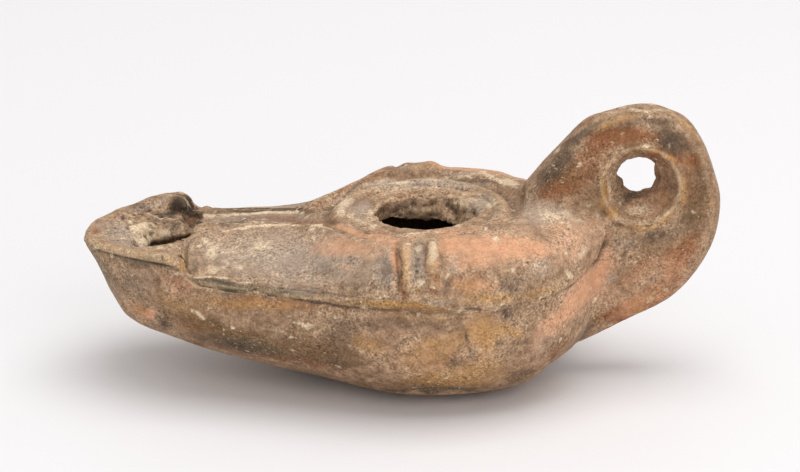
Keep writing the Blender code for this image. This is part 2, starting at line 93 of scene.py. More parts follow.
for name, (place, side, power) in SOFT_BOXES.items():
    box = bpy.data.lights.new(name, "AREA")
    box.shape = "SQUARE"
    box.size = side
    box.energy = power
    hung_box = bpy.data.objects.new(name, box)
    hung_box.location = place
    hung_box.rotation_euler = (VIEW_TARGET - Vector(place)).to_track_quat("-Z", "Y").to_euler()
    bpy.context.scene.collection.objects.link(hung_box)
room = bpy.data.worlds.new("white_room")
room.use_nodes = True
walls = room.node_tree.nodes["Background"]
walls.inputs["Color"].default_value = linear(ROOM_WHITE)
walls.inputs["Strength"].default_value = ROOM_BRIGHTNESS
bpy.context.scene.world = room

# Studio floor
# A sheet of smooth white acrylic, wide enough to fill the frame, with a faint gloss. It is
# part of the stage, not of the lamp.
FLOOR_HALF = 3.0
FLOOR_WHITE = "#eeeced"
FLOOR_ROUGHNESS = 0.5

bm = bmesh.new()
bmesh.ops.create_grid(bm, x_segments=1, y_segments=1, size=FLOOR_HALF)
floor_mesh = bpy.data.meshes.new("studio_floor")
bm.to_mesh(floor_mesh)
bm.free()
floor = bpy.data.objects.new("studio_floor", floor_mesh)
bpy.context.scene.collection.objects.link(floor)
acrylic = bpy.data.materials.new("white_acrylic")
acrylic.use_nodes = True
gloss = acrylic.node_tree.nodes["Principled BSDF"]
gloss.inputs["Base Color"].default_value = linear(FLOOR_WHITE)
gloss.inputs["Roughness"].default_value = FLOOR_ROUGHNESS
floor_mesh.materials.append(acrylic)
floor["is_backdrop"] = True

# Lamp body
# The lamp is one piece of low-fired clay, pressed in a mould of two halves and joined at the
# seam. A copy of the solid gets the clay and crust that fill it out, and is cut up finely.
# All sizes from here on are in millimetres.
MM = 0.001
VOXEL = 0.33
MERGE = 0.001
# Clay and crust that fill out the solid before it is cut up: place, radii and turns in degrees.
FILLS = {
    "wing_knob": ((-44.6, 12.2, 26.7), (2.6, 3.4, 2.2), (0, 0, 20)),
    "wick_hole_corner": ((-39.4, -7.0, 24.5), (3.4, 5.0, 2.8), (0, 0, -32)),
    "wick_hole_front": ((-54.0, 1.0, 22.4), (5.3, 8.0, 3.4), (0, 6, 0)),
    "wick_hole_far_wall": ((-46.4, 9.3, 23.9), (8.4, 6.2, 2.6), (0, 0, -10)),
    "wick_hole_far_foot": ((-46.4, 10.8, 20.4), (8.4, 5.2, 5.0), (0, 0, -10)),
    "filling_hole_far_wall": ((1.0, 10.8, 26.9), (9.0, 3.0, 1.8), (0, 0, 4)),
}
BALL_LEVELS = 4
# The rough ring of clay inside the finger hole, left when the hole was pierced. The waves in
# its edge are how many there are, their phase and their height.
THROAT_X, THROAT_Y, THROAT_Z = 39.0, 2.6, 36.6
THROAT_RADIUS = 5.3
THROAT_THICKNESS = 1.15
THROAT_HALF_LENGTH = 2.30
THROAT_WAVES = ((2, 1, 0.30), (5, 2, 0.20), (9, 0, 0.12), (13, 4, 0.12))
THROAT_STEPS = 48
TUBE_STEPS = 16

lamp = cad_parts["lamp"]
bm = bmesh.new()
bm.from_mesh(lamp.data)
bmesh.ops.remove_doubles(bm, verts=bm.verts, dist=MERGE * MM)
for place, radii, turns in FILLS.values():
    ball = bmesh.ops.create_icosphere(bm, subdivisions=BALL_LEVELS, radius=1.0)["verts"]
    turn = Euler([math.radians(angle) for angle in turns]).to_matrix()
    for vert in ball:
        vert.co = (Vector(place) + turn @ Vector([r * c for r, c in zip(radii, vert.co)])) * MM
loops = []
for i in range(THROAT_STEPS):
    around = 2.0 * math.pi * i / THROAT_STEPS
    wave = sum(height * math.sin(count * around + phase) for count, phase, height in THROAT_WAVES)
    loops.append([])
    for j in range(TUBE_STEPS):
        tube = 2.0 * math.pi * j / TUBE_STEPS
        radius = THROAT_RADIUS - wave + THROAT_THICKNESS * math.cos(tube)
        loops[-1].append(bm.verts.new(Vector((
            THROAT_X + radius * math.cos(around), THROAT_Y + THROAT_HALF_LENGTH * math.sin(tube),
            THROAT_Z + radius * math.sin(around))) * MM))
for i in range(THROAT_STEPS):
    here, ahead = loops[i], loops[(i + 1) % THROAT_STEPS]
    for j in range(TUBE_STEPS):
        k = (j + 1) % TUBE_STEPS
        bm.faces.new((here[j], here[k], ahead[k], ahead[j]))
clay_mesh = bpy.data.meshes.new("clay_lamp")
bm.to_mesh(clay_mesh)
bm.free()
clay_mesh.materials.clear()
clay_lamp = bpy.data.objects.new("clay_lamp", clay_mesh)
bpy.context.scene.collection.objects.link(clay_lamp)


def settle(obj):
    """Applies an object's modifiers: its mesh becomes the evaluated one."""
    bpy.context.view_layer.update()
    evaluated = obj.evaluated_get(bpy.context.evaluated_depsgraph_get())
    mesh = bpy.data.meshes.new_from_object(evaluated)
    obj.modifiers.clear()
    obj.data = mesh
    return mesh


voxels = clay_lamp.modifiers.new("Fine cells", "REMESH")
voxels.mode = "VOXEL"
voxels.voxel_size = VOXEL * MM
clay_mesh = settle(clay_lamp)

# Smoothed facets
# A mould leaves soft curves, so the solid's facets go from the handle, the shoulder and the
# bowl, and its edges elsewhere only soften.
FACET_ROUNDS = 40
EDGE_ROUNDS = 3
HALF_WAY = 0.5
# A pair of limits for smooth() is a soft passage, from where it begins to where it is complete.
HANDLE_FOOT = (24.0, 31.0)
HANDLE_FOOT_Z = 24.0
HANDLE_LEAN = 0.35
HOLE_X, HOLE_Z = 39.0, 36.7
HOLE_RIM = (9.2, 8.0)
HOLE_RIM_KEPT = 0.95
BOWL_TOP = (20.0, 17.0)
BOWL_BOTTOM = (0.5, 1.5)
SHOULDER_IN = (16.6, 17.6)
SHOULDER_OUT = (22.5, 20.5)
SHOULDER_Z = 27.0
NOZZLE_HEAD = (-38.0, -41.0)
NOZZLE_HEAD_Z = 21.0
NOZZLE_HEAD_SHARE = 0.7
FAR_LUG_SIDE = (10.0, 8.0)
FAR_LUG_BACK = (16.0, 19.0)
FAR_LUG_Z = 22.0
FAR_LUG_SHARE = 0.9
LUG_EDGES = (-4.0, 3.6)
LUG_EDGE_SIDE = (1.8, 0.8)
LUG_Y, LUG_Z = -14.0, 19.0
LUG_EDGE_SHARE = 0.8


def smooth(start, end, value):
    """0 before start and 1 after end, with a soft passage between them."""
    share = np.clip((value - start) / (end - start), 0.0, 1.0)
    return share * share * (3.0 - 2.0 * share)


def read_points(mesh):
    """A mesh's points and normals, the points in millimetres."""
    points = np.empty(len(mesh.vertices) * 3)
    normals = np.empty(len(mesh.vertices) * 3)
    mesh.vertices.foreach_get("co", points)
    mesh.vertex_normals.foreach_get("vector", normals)
    return points.reshape(-1, 3) / MM, normals.reshape(-1, 3)


def write_points(mesh, points):
    """Puts a mesh's points where they are given in millimetres."""
    mesh.vertices.foreach_set("co", (points * MM).ravel())
    mesh.update()


def relax(values, edges, weight, rounds):
    """Moves each point's values towards its neighbours' mean, by its weight from 0 to 1."""
    count = len(values)
    degree = np.bincount(edges.ravel(), minlength=count)
    values = values.copy()
    for _ in range(rounds):
        for axis in range(values.shape[1]):
            column = values[:, axis]
            near = np.bincount(edges[:, 0], column[edges[:, 1]], count)
            near += np.bincount(edges[:, 1], column[edges[:, 0]], count)
            values[:, axis] = column + weight * (near / degree - column)
    return values


edges = np.empty(len(clay_mesh.edges) * 2, dtype=np.int32)
clay_mesh.edges.foreach_get("vertices", edges)
edges = edges.reshape(-1, 2)
points, normals = read_points(clay_mesh)
x, y, z = points.T
on_handle = smooth(*HANDLE_FOOT, x + HANDLE_LEAN * (z - HANDLE_FOOT_Z))
near_hole = smooth(*HOLE_RIM, np.hypot(x - HOLE_X, z - HOLE_Z))
plain = np.maximum(on_handle, smooth(*BOWL_TOP, z) * smooth(*BOWL_BOTTOM, z))
plain *= 1.0 - HOLE_RIM_KEPT * on_handle * near_hole
from_axis = np.hypot(x, y)
shoulder = smooth(*SHOULDER_IN, from_axis) * smooth(*SHOULDER_OUT, from_axis) * (z > SHOULDER_Z)
nozzle_head = NOZZLE_HEAD_SHARE * smooth(*NOZZLE_HEAD, x) * (z > NOZZLE_HEAD_Z)
far_lug = FAR_LUG_SHARE * smooth(*FAR_LUG_SIDE, np.abs(x)) * smooth(*FAR_LUG_BACK, y)
lug_edges = [LUG_EDGE_SHARE * smooth(*LUG_EDGE_SIDE, np.abs(x - edge)) * (y < LUG_Y) * (z > LUG_Z)
             for edge in LUG_EDGES]
for part in (shoulder, nozzle_head, far_lug * (z > FAR_LUG_Z), *lug_edges):
    plain = np.maximum(plain, part)
points = relax(points, edges, HALF_WAY * np.clip(plain, 0.0, 1.0), FACET_ROUNDS)
points = relax(points, edges, HALF_WAY, EDGE_ROUNDS)
write_points(clay_mesh, points)

# Moulded lines and worn forms
# The mould gave the seam, the shoulder panels, the lugs' ridges and the handle's dished face,
# and use and breakage gave the dents, the beads of crust and the rough holes. The lines are
# drawn on the front view, across and up from its middle, and the mould repeats them behind.
SHARP_SEAM = [
    (-56.2, -1.3), (-54.9, -2.3), (-52.2, -3.2), (-48.6, -4.0), (-45.0, -4.7), (-41.8, -5.4),
    (-39.6, -6.1), (-38.2, -7.4), (-36.0, -8.8), (-30.6, -9.9), (-23.4, -10.8), (-18.0, -11.5),
]
SOFT_SEAM = [
    (-18.0, -11.5), (-10.8, -12.6), (-3.6, -13.3), (3.6, -13.7), (9.4, -13.7), (16.6, -13.1),
    (21.6, -12.4), (26.1, -11.2),
]
PANEL_END = [
    (-37.3, -0.7), (-38.2, -2.2), (-38.5, -3.8), (-38.3, -5.4), (-37.8, -6.5),
]
PANEL_FOOT = [
    (-38.3, -5.8), (-37.3, -7.2), (-35.1, -7.9), (-29.7, -8.3), (-23.4, -8.6), (-18.0, -9.4),
    (-10.8, -10.4), (-5.0, -11.3),
]
CREASE = [
    (26.1, -11.2), (28.8, -10.1), (31.5, -8.5), (33.8, -6.1), (35.5, -4.0), (36.5, -1.6),
    (37.3, 0.7), (38.2, 2.3),
]
RIM_BEAD = [
    (-55.8, -0.9), (-53.1, -2.2), (-49.5, -3.1), (-45.9, -3.8), (-42.3, -4.1), (-39.4, -4.7),
]
PANEL = [
    (-38.0, -1.6), (-37.4, -0.2), (-36.0, 0.7), (-30.6, 1.3), (-23.4, 1.8), (-16.2, 2.2),
    (-11.7, 1.3), (-6.3, -0.7), (-2.2, -1.8), (-1.1, -3.2), (-0.5, -7.0), (-0.4, -10.1),
    (-1.4, -11.0), (-4.3, -11.2), (-10.8, -10.3), (-18.0, -9.2), (-23.4, -8.5), (-29.7, -8.1),
    (-35.1, -7.7), (-37.4, -7.0), (-38.2, -5.8),
]
HANDLE_RIM = [
    (51.8, -4.7), (54.0, -0.7), (55.4, 2.9), (55.8, 6.5), (55.4, 10.1), (54.5, 13.7),
    (53.1, 16.7), (50.9, 19.4), (47.7, 21.1), (44.1, 21.4), (40.5, 20.9), (36.9, 20.2),
    (34.2, 18.9), (31.1, 16.9), (28.8, 14.9), (26.8, 12.4), (24.3, 9.2), (22.5, 6.5),
]
# The front lug's ridges and grooves: both ends, half width and height, which is partly ragged.
LUG_RIDGES = [
    ((1.0, -1.8), (1.3, -9.0), 1.35, 0.42),
    ((6.1, -1.4), (6.3, -8.6), 1.53, 0.38),
    ((3.4, -0.7), (3.6, -10.1), 0.90, -0.10),
    ((-0.5, -3.6), (-0.4, -9.4), 0.90, -0.05),
]
LUG_EVEN, LUG_RAGGED = 0.75, 0.35
LUG_RIDGE_SIDE = (1.4, 0.1)
# Lines pressed into the clay, and beads that stand on it. A form is its shift off the line, its
# height, below 0 for a cut, and its half width. A lip is its height, start, crest and end.
SEAMS = ((SHARP_SEAM, 0.32), (SOFT_SEAM, 0.16))
SEAM_WIDTH = 0.35
SEAM_LIP_SHARE = 0.6
SEAM_LIP = (0.0, 0.3, 2.2)
CREASE_FORM = (0.20, -0.18, 0.65)
CREASE_LIP = (0.25, -0.1, 0.4, 3.0)
RIM_BEAD_FORM = (0.0, 0.35, 0.75)
PANEL_RISE = 0.30
PANEL_EDGE = (-0.25, 0.45)
PANEL_FOOT_FORM = (0.30, -0.34, 0.48)
PANEL_FOOT_FADE = (-8.0, -26.0)
PANEL_FOOT_START = (-41.0, -38.5)
PANEL_END_FORM = (0.0, -0.25, 0.8)
# The handle's dished face, and the bead of crust round the finger hole.
DISH_DEPTH = 1.0
DISH_RIM = (-0.4, 1.2)
DISH_MIDDLE = (13.0, 3.0)
DISH_HOLE = (7.4, 10.5)
DISH_FOOT = (20.0, 32.0)
DISH_START = (22.0, 28.0)
HANDLE_X = 28.0
HOLE_BEAD_FORM = (-7.3, 1.0, 0.45)
HOLE_BEAD_Y = 4.0
BEAD_EVEN, BEAD_RAGGED, BEAD_RIPPLE, BEAD_SEED = 0.44, 0.26, 1.2, 61
# The disc's ring, wider inside than outside, and the groove round it.
RING_RADIUS = 14.3
RING_HEIGHT = 0.85
RING_SLOPES = (2.2, 1.2)
RING_GROOVE_FORM = (-16.6, -0.65, 1.0)
RING_Z = (28.2, 28.8)
RING_BACK = (20.0, 18.0)
RING_FAR = (-12.0, 2.0)
# Hollows and swellings: place, radius and height along the surface's own direction.
SWELLINGS = [
    ((29.5, 0.0, 47.2), 5.5, 0.7),
    ((34.6, 0.0, 49.8), 3.6, -0.5),
    ((48.0, 0.0, 48.2), 5.0, 0.7),
    ((54.0, 0.0, 40.5), 7.0, -0.7),
    ((26.5, 0.0, 2.2), 6.5, -1.1),
    ((-14.0, 20.5, 27.0), 6.5, -0.7),
    ((1.4, 25.0, 29.0), 4.5, 0.5),
    ((-41.2, 7.6, 25.8), 3.6, -1.7),
    ((-44.0, 10.0, 26.4), 3.4, -1.5),
    ((-40.4, 13.4, 28.2), 3.6, -0.9),
    ((-41.6, 17.0, 26.4), 3.4, -0.3),
    ((-39.9, 17.6, 24.6), 2.4, 0.5),
    ((-49.0, 15.4, 27.2), 6.0, 0.5),
    ((-58.4, -4.2, 21.0), 6.0, -0.4),
    ((-28.5, 20.1, 24.4), 10.0, -0.4),
    ((-17.2, 12.0, 29.5), 7.0, -0.4),
    ((56.0, 0.0, 31.0), 9.0, -0.45),
    ((54.0, 0.0, 36.4), 6.0, -0.4),
    ((25.2, -12.0, 5.2), 8.0, -1.4),
    ((25.2, 12.0, 5.2), 8.0, -1.4),
    ((19.4, 19.8, 30.0), 6.0, -0.6),
    ((8.6, 7.0, 29.4), 3.4, 0.8),
    ((0.4, 9.4, 30.0), 3.6, -0.7),
]
# The rough edges of the three holes and the disc between them: where each lies, and how high
# its crumbs and crust stand.
FILLING_X = 1.0
FILLING_RIM = (11.5, 10.0)
FILLING_Z = (22.0, 24.0)
FILLING_FAR = (-7.0, 3.0)
FILLING_CRUMBS = 0.30
WICK_X, WICK_Y = -45.0, 1.0
WICK_RIM = (13.0, 11.0)
WICK_TOP = (27.8, 26.6)
WICK_FLOOR = (17.0, 19.0)
WICK_FAR = (-2.0, 0.0)
WICK_CRUST = 0.44
THROAT_RIM = (7.4, 6.4)
THROAT_CRUMBS = 0.24
DISC_RADIUS = 11.0
DISC_Z = 22.0
DISC_CRUMBS = 0.10
# The finger hole's throat is drawn in by this much.
NARROWING = 0.4
NARROW_FROM = (9.0, 7.4)
# Random waves: the size of a bump, its share and its seed, and the table they draw from.
RAGGED_WAVES = ((2.2, 0.5, 62), (0.9, 0.3, 63))
CRUMB_WAVES = ((2.6, 1.0, 64), (1.1, 0.7, 65), (0.6, 0.4, 66))
HASH_SIZE = 8192
HASH_START = 100.0
HASH_PRIMES = (73856093, 19349663, 83492791)
# The drawn lines lie on faces that look at the viewer, and not on the walls of the chamber.
FACING = (0.0, 0.3)
CHAMBER_MIDDLE_Z = 14.5
CHAMBER_X = (-50.0, 30.0)
HOLLOW_ROUNDS = 14


def ripple(points, size, seed):
    """A smooth random field from about -1 to 1, with bumps of the given size."""
    table = np.random.default_rng(seed).uniform(-1.0, 1.0, HASH_SIZE)
    grid = points / size + HASH_START
    cell = np.floor(grid).astype(np.int64)
    part = grid - cell
    part = part * part * (3.0 - 2.0 * part)
    total = np.zeros(len(points))
    for corner in range(8):
        step = np.array([corner & 1, corner >> 1 & 1, corner >> 2 & 1])
        key = (cell + step) * HASH_PRIMES
        key = (key[:, 0] ^ key[:, 1] ^ key[:, 2]) % HASH_SIZE
        weight = np.where(step, part, 1.0 - part).prod(axis=1)
        total += weight * table[key]
    return total


def seen_from(side, points):
    """Where the camera, or its mirror image behind the lamp, sees each point, in millimetres."""
    mirrored = points * MM * [1.0, side, 1.0] - np.array(camera.location)
    ahead = -np.array(toward_camera)
    up = np.array([0.0, math.sin(VIEW_ELEVATION), math.cos(VIEW_ELEVATION)])
    scale = VIEW_DISTANCE / (mirrored @ ahead) / MM
    return mirrored[:, 0] * scale, mirrored @ up * scale


def from_line(across, up, line):
    """Distance of each seen point from a drawn line, positive above or left of it."""
    nearest = np.full(len(across), np.inf)
    side = np.ones(len(across))
    for (a0, b0), (a1, b1) in zip(line, line[1:]):
        run, rise = a1 - a0, b1 - b0
        share = np.clip(((across - a0) * run + (up - b0) * rise) / (run * run + rise * rise), 0, 1)
        off_a, off_b = across - a0 - share * run, up - b0 - share * rise
        distance = np.hypot(off_a, off_b)
        closer = distance < nearest
        nearest = np.where(closer, distance, nearest)
        side = np.where(closer, np.sign(run * off_b - rise * off_a), side)
    return nearest * side


def within(across, up, outline):
    """How far each seen point lies inside a closed outline, negative outside it."""
    closed = outline + outline[:1]
    inside = np.zeros(len(across), dtype=bool)
    for (a0, b0), (a1, b1) in zip(closed, closed[1:]):
        if b0 != b1:
            crossing = (b0 > up) != (b1 > up)
            inside ^= crossing & (across < a0 + (up - b0) * (a1 - a0) / (b1 - b0))
    return np.where(inside, 1.0, -1.0) * np.abs(from_line(across, up, closed))


def ridge(distance, form, share=1.0):
    """A soft ridge beside a line, or a cut in the clay where its height is below 0."""
    shift, height, width = form
    return height * share * np.exp(-((distance + shift) / width) ** 2)


def lip(distance, height, start, crest, end):
    """A lip on one side of a line, highest at its crest."""
    return height * smooth(end, crest, distance) * smooth(start, crest, distance)


def turned_out(points, normals):
    """Above 0 where a face looks away from the chamber's long middle line, below 0 towards it."""
    from_middle = points - [0.0, 0.0, CHAMBER_MIDDLE_Z]
    return (from_middle * normals * [0.0, 1.0, 1.0]).sum(axis=1)


points, normals = read_points(clay_mesh)
x, y, z = points.T
side = np.where(y < 0.0, 1.0, -1.0)
across, up = np.where(y < 0.0, seen_from(1, points), seen_from(-1, points))
facing = smooth(*FACING, normals[:, 1] * -side * math.cos(VIEW_ELEVATION)
                + normals[:, 2] * math.sin(VIEW_ELEVATION))
facing *= (turned_out(points, normals) > 0.0) | (x < CHAMBER_X[0]) | (x > CHAMBER_X[1])
ragged = sum((share * ripple(points, size, seed) for size, share, seed in RAGGED_WAVES), 1.0)
raised = np.zeros(len(points))
for line, depth in SEAMS:
    seam = from_line(across, up, line)
    raised += ridge(seam, (0.0, -depth, SEAM_WIDTH), ragged)
    raised += lip(seam, SEAM_LIP_SHARE * depth, *SEAM_LIP)
crease = from_line(across, up, CREASE)
raised += ridge(crease, CREASE_FORM, ragged)
raised += lip(crease, *CREASE_LIP)
raised += ridge(from_line(across, up, RIM_BEAD), RIM_BEAD_FORM, ragged)
raised += PANEL_RISE * smooth(*PANEL_EDGE, within(across, up, PANEL))
foot = ridge(from_line(across, up, PANEL_FOOT), PANEL_FOOT_FORM, ragged)
raised += foot * smooth(*PANEL_FOOT_FADE, x) * smooth(*PANEL_FOOT_START, x)
raised += ridge(from_line(across, up, PANEL_END), PANEL_END_FORM)
for top, bottom, half_width, height in LUG_RIDGES:
    off = np.abs(from_line(across, up, [top, bottom])) / half_width
    height = height * (LUG_EVEN + LUG_RAGGED * ragged)
    raised += height * smooth(*LUG_RIDGE_SIDE, off) * (y < 0.0)
rim = from_line(across, up, HANDLE_RIM)
from_hole = np.hypot(x - HOLE_X, z - HOLE_Z)
dish = smooth(*DISH_RIM, rim) * smooth(*DISH_MIDDLE, rim) * smooth(*DISH_HOLE, from_hole)
dish *= smooth(*DISH_FOOT, z)
raised -= DISH_DEPTH * dish * smooth(*DISH_START, x)
crusty = BEAD_EVEN + BEAD_RAGGED * ripple(points, BEAD_RIPPLE, BEAD_SEED)
raised += ridge(from_hole, HOLE_BEAD_FORM, crusty) * (np.abs(y) > HOLE_BEAD_Y) * (x > HANDLE_X)
raised *= facing

from_axis = np.hypot(x, y)
on_ring = smooth(*RING_Z, z) * smooth(*RING_BACK, x) * smooth(*RING_FAR, y)
slope = np.where(from_axis < RING_RADIUS, *RING_SLOPES)
raised += ridge(from_axis, (-RING_RADIUS, RING_HEIGHT, slope), on_ring)
raised += ridge(from_axis, RING_GROOVE_FORM, on_ring)
for place, radius, height in SWELLINGS:
    raised += height * smooth(radius, 0.0, np.linalg.norm(points - place, axis=1))

filling_hole = smooth(*FILLING_RIM, np.hypot(x - FILLING_X, y)) * smooth(*FILLING_Z, z)
filling_hole *= smooth(*FILLING_FAR, y)
finger_hole = smooth(*THROAT_RIM, from_hole) * (x > HANDLE_X)
wick_hole = smooth(*WICK_RIM, np.hypot(x - WICK_X, y - WICK_Y)) * smooth(*WICK_TOP, z)
wick_hole *= smooth(*WICK_FLOOR, z)
into_hole = ((x - WICK_X) * normals[:, 0] + (y - WICK_Y) * normals[:, 1]) < 0.0
wick_hole *= np.where(into_hole, 1.0, smooth(*WICK_FAR, y))
crumbs = sum(share * ripple(points, size, seed) for size, share, seed in CRUMB_WAVES)
raised += crumbs * (
    DISC_CRUMBS * ((from_axis < DISC_RADIUS) & (z > DISC_Z)) + FILLING_CRUMBS * filling_hole
    + THROAT_CRUMBS * finger_hole + WICK_CRUST * wick_hole)
points = points + normals * raised[:, None]
pull = NARROWING * smooth(*NARROW_FROM, from_hole) * (x > HANDLE_X) / np.maximum(from_hole, 1.0)
points[:, 0] -= pull * (x - HOLE_X)
points[:, 2] -= pull * (z - HOLE_Z)
write_points(clay_mesh, points)

# How deep each point lies in a hollow, for the colour: painted shade darkens the hollows and worn
# edges are paler.
dense, normals = read_points(clay_mesh)
softened = relax(dense, edges, HALF_WAY, HOLLOW_ROUNDS)
hollow = ((softened - dense) * normals).sum(axis=1)

# Worn surface
# Fingers, tools and centuries in the soil left the clay faintly wavy, grainy and pitted. A tree
# of geometry nodes sets these out over the whole surface, less in the chamber, and not at all
# where the lamp stands.
WEAR = {
    "Wave Size": 9.0 * MM,
    "Wave Height": 0.16 * MM,
    "Grain Size": 1.3 * MM,
    "Grain Height": 0.07 * MM,
    "Pit Spacing": 3.2 * MM,
    "Pit Radius": 0.45 * MM,
    "Pit Depth": 0.22 * MM,
}
# Each kind of bump: its detail and its seed.
BUMPS = {"Wave": (1.0, 3.1), "Grain": (2.5, 7.7)}
BUMP_ROUGHNESS = 0.55
PIT_SEED = 5.3
# The chamber lies between its floor and roof, under the wick hole's dish, and towards the handle
# in an oval seen from the side.
CHAMBER_FLOOR, CHAMBER_ROOF = 3.0, 24.0
WICK_DISH_X, WICK_DISH_Z = -37.5, 19.0
OVAL_LENGTH, OVAL_HEIGHT, OVAL_Z, OVAL_REACH = 27.8, 11.0, 14.0, 1.12
CHAMBER_WEAR = 0.35
GROUND_WEAR = (0.0, 0.8)
TRIANGLES = 190000


def node(tree, kind, inputs=None, **settings):
    """Adds one node. Settings are its own, and inputs are values, or nodes or sockets to link."""
    made = tree.nodes.new(kind)
    for name, value in settings.items():
        setattr(made, name, value)
    for name, value in (inputs or {}).items():
        if isinstance(value, bpy.types.Node):
            value = value.outputs[0]
        if isinstance(value, bpy.types.NodeSocket):
            tree.links.new(value, made.inputs[name])
        else:
            made.inputs[name].default_value = value
    return made


def worn_surface():
    """The tree that moves each point along its normal by waves, grain and pits."""
    tree = bpy.data.node_groups.new("worn_surface", "GeometryNodeTree")
    sockets = {"Geometry": "Geometry", **dict.fromkeys(WEAR, "Float"), "Material": "Material"}
    for name, kind in sockets.items():
        tree.interface.new_socket(name, in_out="INPUT", socket_type="NodeSocket" + kind)
    tree.interface.new_socket("Geometry", in_out="OUTPUT", socket_type="NodeSocketGeometry")
    given = node(tree, "NodeGroupInput").outputs
    place = node(tree, "GeometryNodeInputPosition")
    height = 0.0
    for name, (detail, seed) in BUMPS.items():
        scale = node(tree, "ShaderNodeMath", {0: 1.0, 1: given[name + " Size"]}, operation="DIVIDE")
        field = node(tree, "ShaderNodeTexNoise", {
            "Vector": place, "W": seed, "Scale": scale, "Detail": detail,
            "Roughness": BUMP_ROUGHNESS}, noise_dimensions="4D")
        # Noise runs from 0 to 1, and a wave from -1 to 1.
        swing = node(tree, "ShaderNodeMath", {0: field, 1: 2.0, 2: -1.0}, operation="MULTIPLY_ADD")
        height = node(tree, "ShaderNodeMath", {0: swing, 1: given[name + " Height"], 2: height},
                      operation="MULTIPLY_ADD")
    scale = node(tree, "ShaderNodeMath", {0: 1.0, 1: given["Pit Spacing"]}, operation="DIVIDE")
    cells = node(tree, "ShaderNodeTexVoronoi", {"Vector": place, "W": PIT_SEED, "Scale": scale},
                 voronoi_dimensions="4D")
    reach = node(tree, "ShaderNodeMath", {0: given["Pit Radius"], 1: scale}, operation="MULTIPLY")
    bowl = node(tree, "ShaderNodeMapRange", {
        "Value": cells.outputs["Distance"], "From Max": reach, "To Min": 1.0, "To Max": 0.0},
        interpolation_type="SMOOTHSTEP")
    pit = node(tree, "ShaderNodeMath", {0: bowl, 1: given["Pit Depth"]}, operation="MULTIPLY")
    height = node(tree, "ShaderNodeMath", {0: height, 1: pit}, operation="SUBTRACT")
    wear = node(tree, "GeometryNodeInputNamedAttribute", {"Name": "wear"}, data_type="FLOAT")
    height = node(tree, "ShaderNodeMath", {0: height, 1: wear}, operation="MULTIPLY")
    normal = node(tree, "GeometryNodeInputNormal")
    shift = node(tree, "ShaderNodeVectorMath", {0: normal, "Scale": height}, operation="SCALE")
    moved = node(tree, "GeometryNodeSetPosition", {"Geometry": given["Geometry"], "Offset": shift})
    real = node(tree, "GeometryNodeRealizeInstances", {"Geometry": moved})
    coated = node(tree, "GeometryNodeSetMaterial", {
        "Geometry": real, "Material": given["Material"]})
    node(tree, "NodeGroupOutput", {"Geometry": coated})
    return tree


x, y, z = dense.T
chamber = (turned_out(dense, normals) < 0.0) & (z > CHAMBER_FLOOR) & (z < CHAMBER_ROOF)
chamber &= (x > CHAMBER_X[0]) & ((x > WICK_DISH_X) | (z < WICK_DISH_Z))
oval = (x / OVAL_LENGTH) ** 2 + ((z - OVAL_Z) / OVAL_HEIGHT) ** 2
chamber &= (x < 0.0) | (oval < OVAL_REACH)
wear = np.where(chamber, CHAMBER_WEAR, 1.0) * smooth(*GROUND_WEAR, z)
clay_mesh.attributes.new("wear", "FLOAT", "POINT").data.foreach_set("value", wear)
fired_clay = bpy.data.materials.new("fired_clay")
rough = clay_lamp.modifiers.new("Worn surface", "NODES")
rough.node_group = worn_surface()
settings = {**WEAR, "Material": fired_clay}
for item in rough.node_group.interface.items_tree:
    if item.name in settings:
        rough[item.identifier] = settings[item.name]
thin = clay_lamp.modifiers.new("Fewer faces", "DECIMATE")
clay_mesh.calc_loop_triangles()
thin.ratio = TRIANGLES / len(clay_mesh.loop_triangles)
finished = settle(clay_lamp)
finished.name = "clay_lamp"
finished.shade_smooth()
